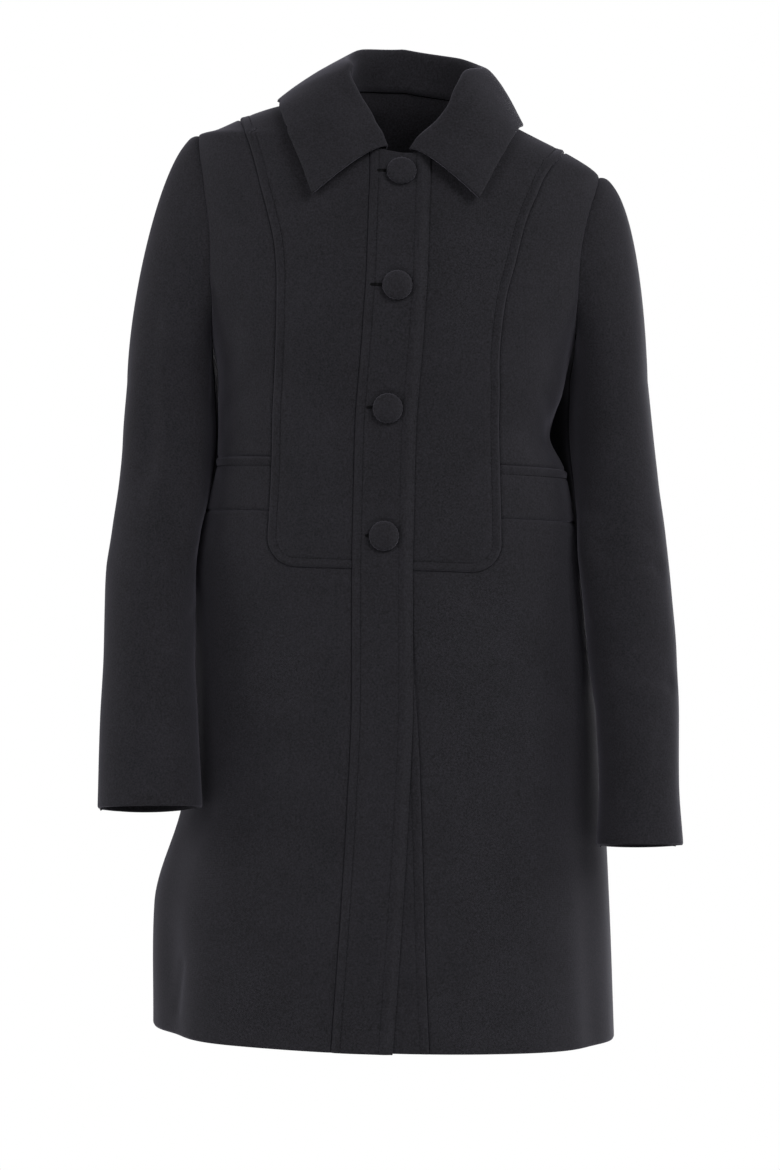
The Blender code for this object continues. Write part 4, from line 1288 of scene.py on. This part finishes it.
def sewing_tree():
    """Geometry Nodes that set beads of thread along a path."""
    tree = bpy.data.node_groups.new("sewing", "GeometryNodeTree")
    tree.interface.new_socket("Geometry", in_out="INPUT", socket_type="NodeSocketGeometry")
    for name in BEAD_SIZES:
        tree.interface.new_socket(name, in_out="INPUT", socket_type="NodeSocketFloat")
    tree.interface.new_socket("Thread", in_out="INPUT", socket_type="NodeSocketMaterial")
    tree.interface.new_socket("Geometry", in_out="OUTPUT", socket_type="NodeSocketGeometry")
    given = add_node(tree, "NodeGroupInput").outputs
    path = add_node(tree, "GeometryNodeMeshToCurve", Mesh=given["Geometry"]).outputs["Curve"]
    steps = add_node(tree, "GeometryNodeResampleCurve", {"mode": "LENGTH"}, Curve=path, Length=given["Step"])
    length, width, height = (given[name] for name in BEAD_SIZES[1:])
    size = add_node(tree, "ShaderNodeCombineXYZ", X=length, Y=width, Z=height).outputs["Vector"]
    ball = add_node(tree, "GeometryNodeMeshUVSphere", {"Segments": 8, "Rings": 5, "Radius": 0.5})
    bead = add_node(tree, "GeometryNodeTransform", Geometry=ball.outputs["Mesh"], Scale=size)
    stored = {}
    for name in ("way", "rise"):
        vector = {"data_type": "FLOAT_VECTOR", "Name": name}
        stored[name] = add_node(tree, "GeometryNodeInputNamedAttribute", vector).outputs["Attribute"]
    pointed = add_node(tree, "FunctionNodeAlignRotationToVector", {"axis": "X"}, Vector=stored["way"])
    raised = add_node(
        tree,
        "FunctionNodeAlignRotationToVector",
        {"axis": "Z", "pivot_axis": "X"},
        Rotation=pointed.outputs["Rotation"],
        Vector=stored["rise"],
    )
    sewn = add_node(
        tree,
        "GeometryNodeInstanceOnPoints",
        Points=steps.outputs["Curve"],
        Instance=bead.outputs["Geometry"],
        Rotation=raised.outputs["Rotation"],
    )
    real = add_node(tree, "GeometryNodeRealizeInstances", Geometry=sewn.outputs["Instances"])
    smooth = add_node(tree, "GeometryNodeSetShadeSmooth", Geometry=real.outputs["Geometry"])
    smooth = smooth.outputs["Geometry"]
    done = add_node(tree, "GeometryNodeSetMaterial", Geometry=smooth, Material=given["Thread"])
    add_node(tree, "NodeGroupOutput", Geometry=done.outputs["Geometry"])
    return tree


SEWING = sewing_tree()


def sew(name, paths, yarn, sizes):
    """Sew beads along paths, each given as points, ways and rises, into one plain mesh."""
    points, ways, rises = (np.concatenate(part) for part in zip(*paths))
    links = []
    start = 0
    for path_points, _, _ in paths:
        links += [(number, number + 1) for number in range(start, start + len(path_points) - 1)]
        start += len(path_points)
    mesh = bpy.data.meshes.new(name + "_path")
    mesh.from_pydata(points.tolist(), links, [])
    for label, values in (("way", ways), ("rise", rises)):
        mesh.attributes.new(label, "FLOAT_VECTOR", "POINT").data.foreach_set("vector", values.ravel())
    guide = new_object(name + "_path", mesh)
    modifier = guide.modifiers.new("sewing", "NODES")
    modifier.node_group = SEWING
    sockets = {item.name: item.identifier for item in SEWING.interface.items_tree if item.in_out == "INPUT"}
    for label, size in zip(BEAD_SIZES, sizes):
        modifier[sockets[label]] = size * MM
    modifier[sockets["Thread"]] = yarn
    evaluated = guide.evaluated_get(bpy.context.evaluated_depsgraph_get())
    pieces[name] = new_object(name, bpy.data.meshes.new_from_object(evaluated))
    bpy.data.objects.remove(guide)
    print(name, len(pieces[name].data.polygons), "faces")


print("sewing tree:", len(SEWING.nodes), "nodes")

# %% [markdown]
# The rows of topstitching follow their seams at the welt's width. Each place on a seam is moved that
# far across the cloth, square to the seam and towards the side that is stitched, and is then raised
# to the surface. A row drawn by eye would drift from its seam, so all are measured from it.

# %% Topstitching
STITCH = (3.2, 2.7, 0.55, 0.4)
STITCH_PROUD = -0.35
BIB_ROW = (0.004, 0.995, 700)
BAND_ROW = (0.01, 0.99, 90)
ROW_INSET = 2
UNDERLAP_ROW_TOP = 470
BIB_MIDDLE = (0.35, 200)
BAND_MIDDLE = (1.2, BAND_FOOT)
OVERLAP_MIDDLE = (0.0, 450)
UNDERLAP_MIDDLE = (0.0, 650)


def beside(path, towards, lift=0.0, away=WELT):
    """Path moved across the cloth towards a place, as points, ways along it and rises."""
    angle, drop = path[:, 0], path[:, 1]
    on_seam = body(angle, drop)
    across = np.cross(body_outward(angle, drop), unit(np.gradient(on_seam, axis=0)))
    goal = body(*towards) - on_seam.mean(axis=0)
    across = across * math.copysign(away * MM, float(np.sum(across.mean(axis=0) * goal)))
    by_angle = (body(angle + ANGLE_STEP, drop) - body(angle - ANGLE_STEP, drop)) / (2 * ANGLE_STEP)
    by_drop = (body(angle, drop + DROP_STEP) - body(angle, drop - DROP_STEP)) / (2 * DROP_STEP)
    pairs = ((by_angle, by_angle), (by_angle, by_drop), (by_drop, by_drop))
    aa, ad, dd = (np.sum(one * two, axis=1) for one, two in pairs)
    a, d = (np.sum(one * across, axis=1) for one in (by_angle, by_drop))
    angle = angle + (a * dd - d * ad) / (aa * dd - ad * ad)
    drop = drop + (d * aa - a * ad) / (aa * dd - ad * ad)
    outward = body_outward(angle, drop)
    points = lifted(body(angle, drop), outward, lift + drape(angle, drop) + STITCH_PROUD)
    return points, unit(np.gradient(points, axis=0)), outward


def stitch_rows():
    """All rows of topstitching."""
    rows = []
    for side in (RIGHT, LEFT):
        bodice, waist, rounded, bottom = bib_seam(side)
        whole = np.concatenate((bodice, waist[1:], rounded[1:], bottom[1:]))
        rows.append(beside(along(whole, np.linspace(*BIB_ROW)), (side * BIB_MIDDLE[0], BIB_MIDDLE[1])))
        band = level(bodice[-1, 0], side * math.pi / 2, BAND_TOP)
        rows.append(beside(along(band, np.linspace(*BAND_ROW)), (side * BAND_MIDDLE[0], BAND_MIDDLE[1])))
    seam = from_neck(PLACKET_SEAM[RIGHT], HEM - ROW_INSET, ROW_INSET)
    rows.append(beside(seam, OVERLAP_MIDDLE, LAYER * soft_step(WELT / (OVERLAP_RISE_END - OVERLAP_SEAM))))
    free = from_neck(free_edge, HEM - ROW_INSET, ROW_INSET)
    rows.append(beside(free, OVERLAP_MIDDLE, LAYER + FREE_RIDGE / 2, FREE_WELT))
    under = down_front(underlap_out, UNDERLAP_ROW_TOP, UNDERLAP_HEM - ROW_INSET)
    rows.append(beside(under, UNDERLAP_MIDDLE))
    return rows


sew("topstitching", stitch_rows(), THREAD, STITCH)

# %% [markdown]
# Each buttonhole is a slit across the placket, bound with close threads. It runs from under the
# button towards the seam, so only its inner end shows. The binding is sewn with the same tree: its
# path is a long narrow loop, and the threads point across it. Its near-black thread is painted shade
# for the dark inside of the slit, which the placket's surface does not open.

# %% Buttonholes
HOLE_STITCH = (0.75, 1.9, 0.62, 0.6)
HOLE_START = 3
HOLE_ENDS = (-21, -23.5, -18.5, -16.5)
HOLE_HALF_WIDTH = 0.8
HOLE_SQUARENESS = 1.6
HOLE_POINTS = 160
HOLE_PROUD = -0.05


def hole_loop(drop, end):
    """Loop round one buttonhole, with the ways across it."""
    turn = np.linspace(0, math.tau, HOLE_POINTS)
    half = (HOLE_START - end) / 2 - HOLE_HALF_WIDTH
    slit = (HOLE_START + end) / 2 + np.clip(HOLE_SQUARENESS * np.cos(turn), -1, 1) * half
    loop_drop = drop + HOLE_HALF_WIDTH * np.sin(turn)
    angle = angle_at(slit + HOLE_HALF_WIDTH * np.cos(turn), loop_drop)
    outward = body_outward(angle, loop_drop)
    points = lifted(body(angle, loop_drop), outward, LAYER + drape(angle, loop_drop) + HOLE_PROUD)
    return points, unit(np.cross(outward, unit(np.gradient(points, axis=0)))), outward


loops = [hole_loop(drop, end) for drop, end in zip(BUTTON_DROPS, HOLE_ENDS)]
# Near-black twist: painted shade standing in for the shadow inside the slit.
sew("buttonholes", loops, TWIST_WITH_SLIT_SHADE, HOLE_STITCH)

# %% [markdown]
# Every piece, threads included, rides on the one body of the part, and a piece with a CAD solid of
# the same name stands for it, which is hidden. Half of a closed wall's surface is close to the area
# of its cut.

for name, item in pieces.items():
    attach(item, "root")
    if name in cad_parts:
        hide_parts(name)

# %% [markdown]
# The coat hangs at shoulder height over a pale floor, in a bright white studio. One large soft light,
# far off and high on the viewer's right, gives the cloth its even tone and the shadow under the
# collar. A small one near the front fills the other side, one at each side draws the bright edges of
# the sleeves, and a low one behind keeps the back from going black. The white all round is full only
# to the camera, because as a light it would flatten cloth as dark as this.

# %% Studio
FLOOR_DROP = 1.43
FLOOR_RADIUS = 2.4
FLOOR_STEPS = 96
FRONT_GLOW = 0.19
BACKDROP_GLOW = 0.45
LIGHT_COLUMNS = ("name", "place", "target", "size", "watts")
LIGHTS = (
    ("key", (3.3, -4.1, 2.6), (0.0, 0.0, -0.40), 3.2, 250),
    ("fill", (-1.2, -2.3, 0.2), (0.0, 0.0, -0.40), 1.2, 27),
    ("side_right", (-3.0, 0.1, 0.4), (-0.2, 0.0, -0.30), 1.2, 29),
    ("side_left", (3.0, 0.1, 0.5), (0.2, 0.0, -0.30), 1.2, 25),
    ("back", (1.3, 2.6, -0.3), (0.0, 0.0, -0.45), 1.4, 40),
)
# Matt studio paint: a pale even grey that keeps the bottom of the picture nearly white.
PAINT = new_material("pale_floor_paint", {"Base Color": linear("#e9e9e9"), "Roughness": 0.8})[0]


def make_floor():
    """Pale floor under the coat."""
    turns = np.linspace(0, math.tau, FLOOR_STEPS, endpoint=False)
    rim = [(FLOOR_RADIUS * math.cos(turn), FLOOR_RADIUS * math.sin(turn), -FLOOR_DROP) for turn in turns]
    mesh = bpy.data.meshes.new("floor")
    mesh.from_pydata(rim, [], [tuple(range(FLOOR_STEPS))])
    mesh.materials.append(PAINT)
    floor = new_object("floor", mesh)


def make_light(name, place, target, size, watts):
    """Square soft box that looks at a target."""
    lamp = bpy.data.lights.new(name, "AREA")
    lamp.size = size
    lamp.energy = watts
    light = new_object(name, lamp)
    light.location = place
    light.rotation_euler = (Vector(target) - Vector(place)).to_track_quat("-Z", "Y").to_euler()


def make_studio():
    """White all round to the eye, with more light from the backdrop than from the front."""
    studio = bpy.data.worlds.new("white_studio")
    studio.use_nodes = True
    tree = studio.node_tree
    where = add_node(tree, "ShaderNodeTexCoord")
    axes = add_node(tree, "ShaderNodeSeparateXYZ", Vector=where.outputs["Generated"])
    fade = {"From Min": -1, "From Max": 1, "To Min": FRONT_GLOW, "To Max": BACKDROP_GLOW}
    glow = add_node(tree, "ShaderNodeMapRange", fade, Value=axes.outputs["Y"])
    ray = add_node(tree, "ShaderNodeLightPath")
    seen = add_node(tree, "ShaderNodeMath", {"operation": "MAXIMUM"})
    backdrop = tree.nodes["Background"]
    tree.links.new(glow.outputs["Result"], seen.inputs[0])
    tree.links.new(ray.outputs["Is Camera Ray"], seen.inputs[1])
    tree.links.new(seen.outputs["Value"], backdrop.inputs["Strength"])
    backdrop.inputs["Color"].default_value = (1, 1, 1, 1)
    bpy.context.scene.world = studio


make_floor()
for light in each_row(LIGHT_COLUMNS, LIGHTS):
    make_light(**light)
make_studio()
bpy.context.scene.view_settings.view_transform = "Standard"
print("lights:", [row[0] for row in LIGHTS])

# %% [markdown]
# The photograph was taken from straight in front with a long lens. One pixel of its 780 by 1170
# frame is 0.92 mm at the middle of the coat, which fixes the lens once the distance is chosen. An
# orthographic camera would come close, but a lens draws what is nearer a little larger.

# %% Camera
CAMERA_DISTANCE = 3.2
PIXEL = 0.92 * MM
IMAGE_HEIGHT = 1170
CAMERA_MIDDLE = (-0.0092, -0.4416)
SENSOR = 36

lens = bpy.data.cameras.new("camera")
lens.sensor_fit = "VERTICAL"
lens.sensor_height = SENSOR
lens.lens = SENSOR * CAMERA_DISTANCE / (IMAGE_HEIGHT * PIXEL)
camera = new_object("camera", lens)
camera.location = (CAMERA_MIDDLE[0], -CAMERA_DISTANCE, CAMERA_MIDDLE[1])
camera.rotation_euler = (math.pi / 2, 0, 0)
bpy.context.scene.camera = camera
print("lens:", round(lens.lens), "mm")

# %% [markdown]
# Folds and thread stand a little off the plain CAD form. The triangles of all finished pieces are
# counted and printed.

# %% Triangle count
triangles = sum(len(polygon.vertices) - 2 for item in pieces.values() for polygon in item.data.polygons)
print("triangles:", triangles)
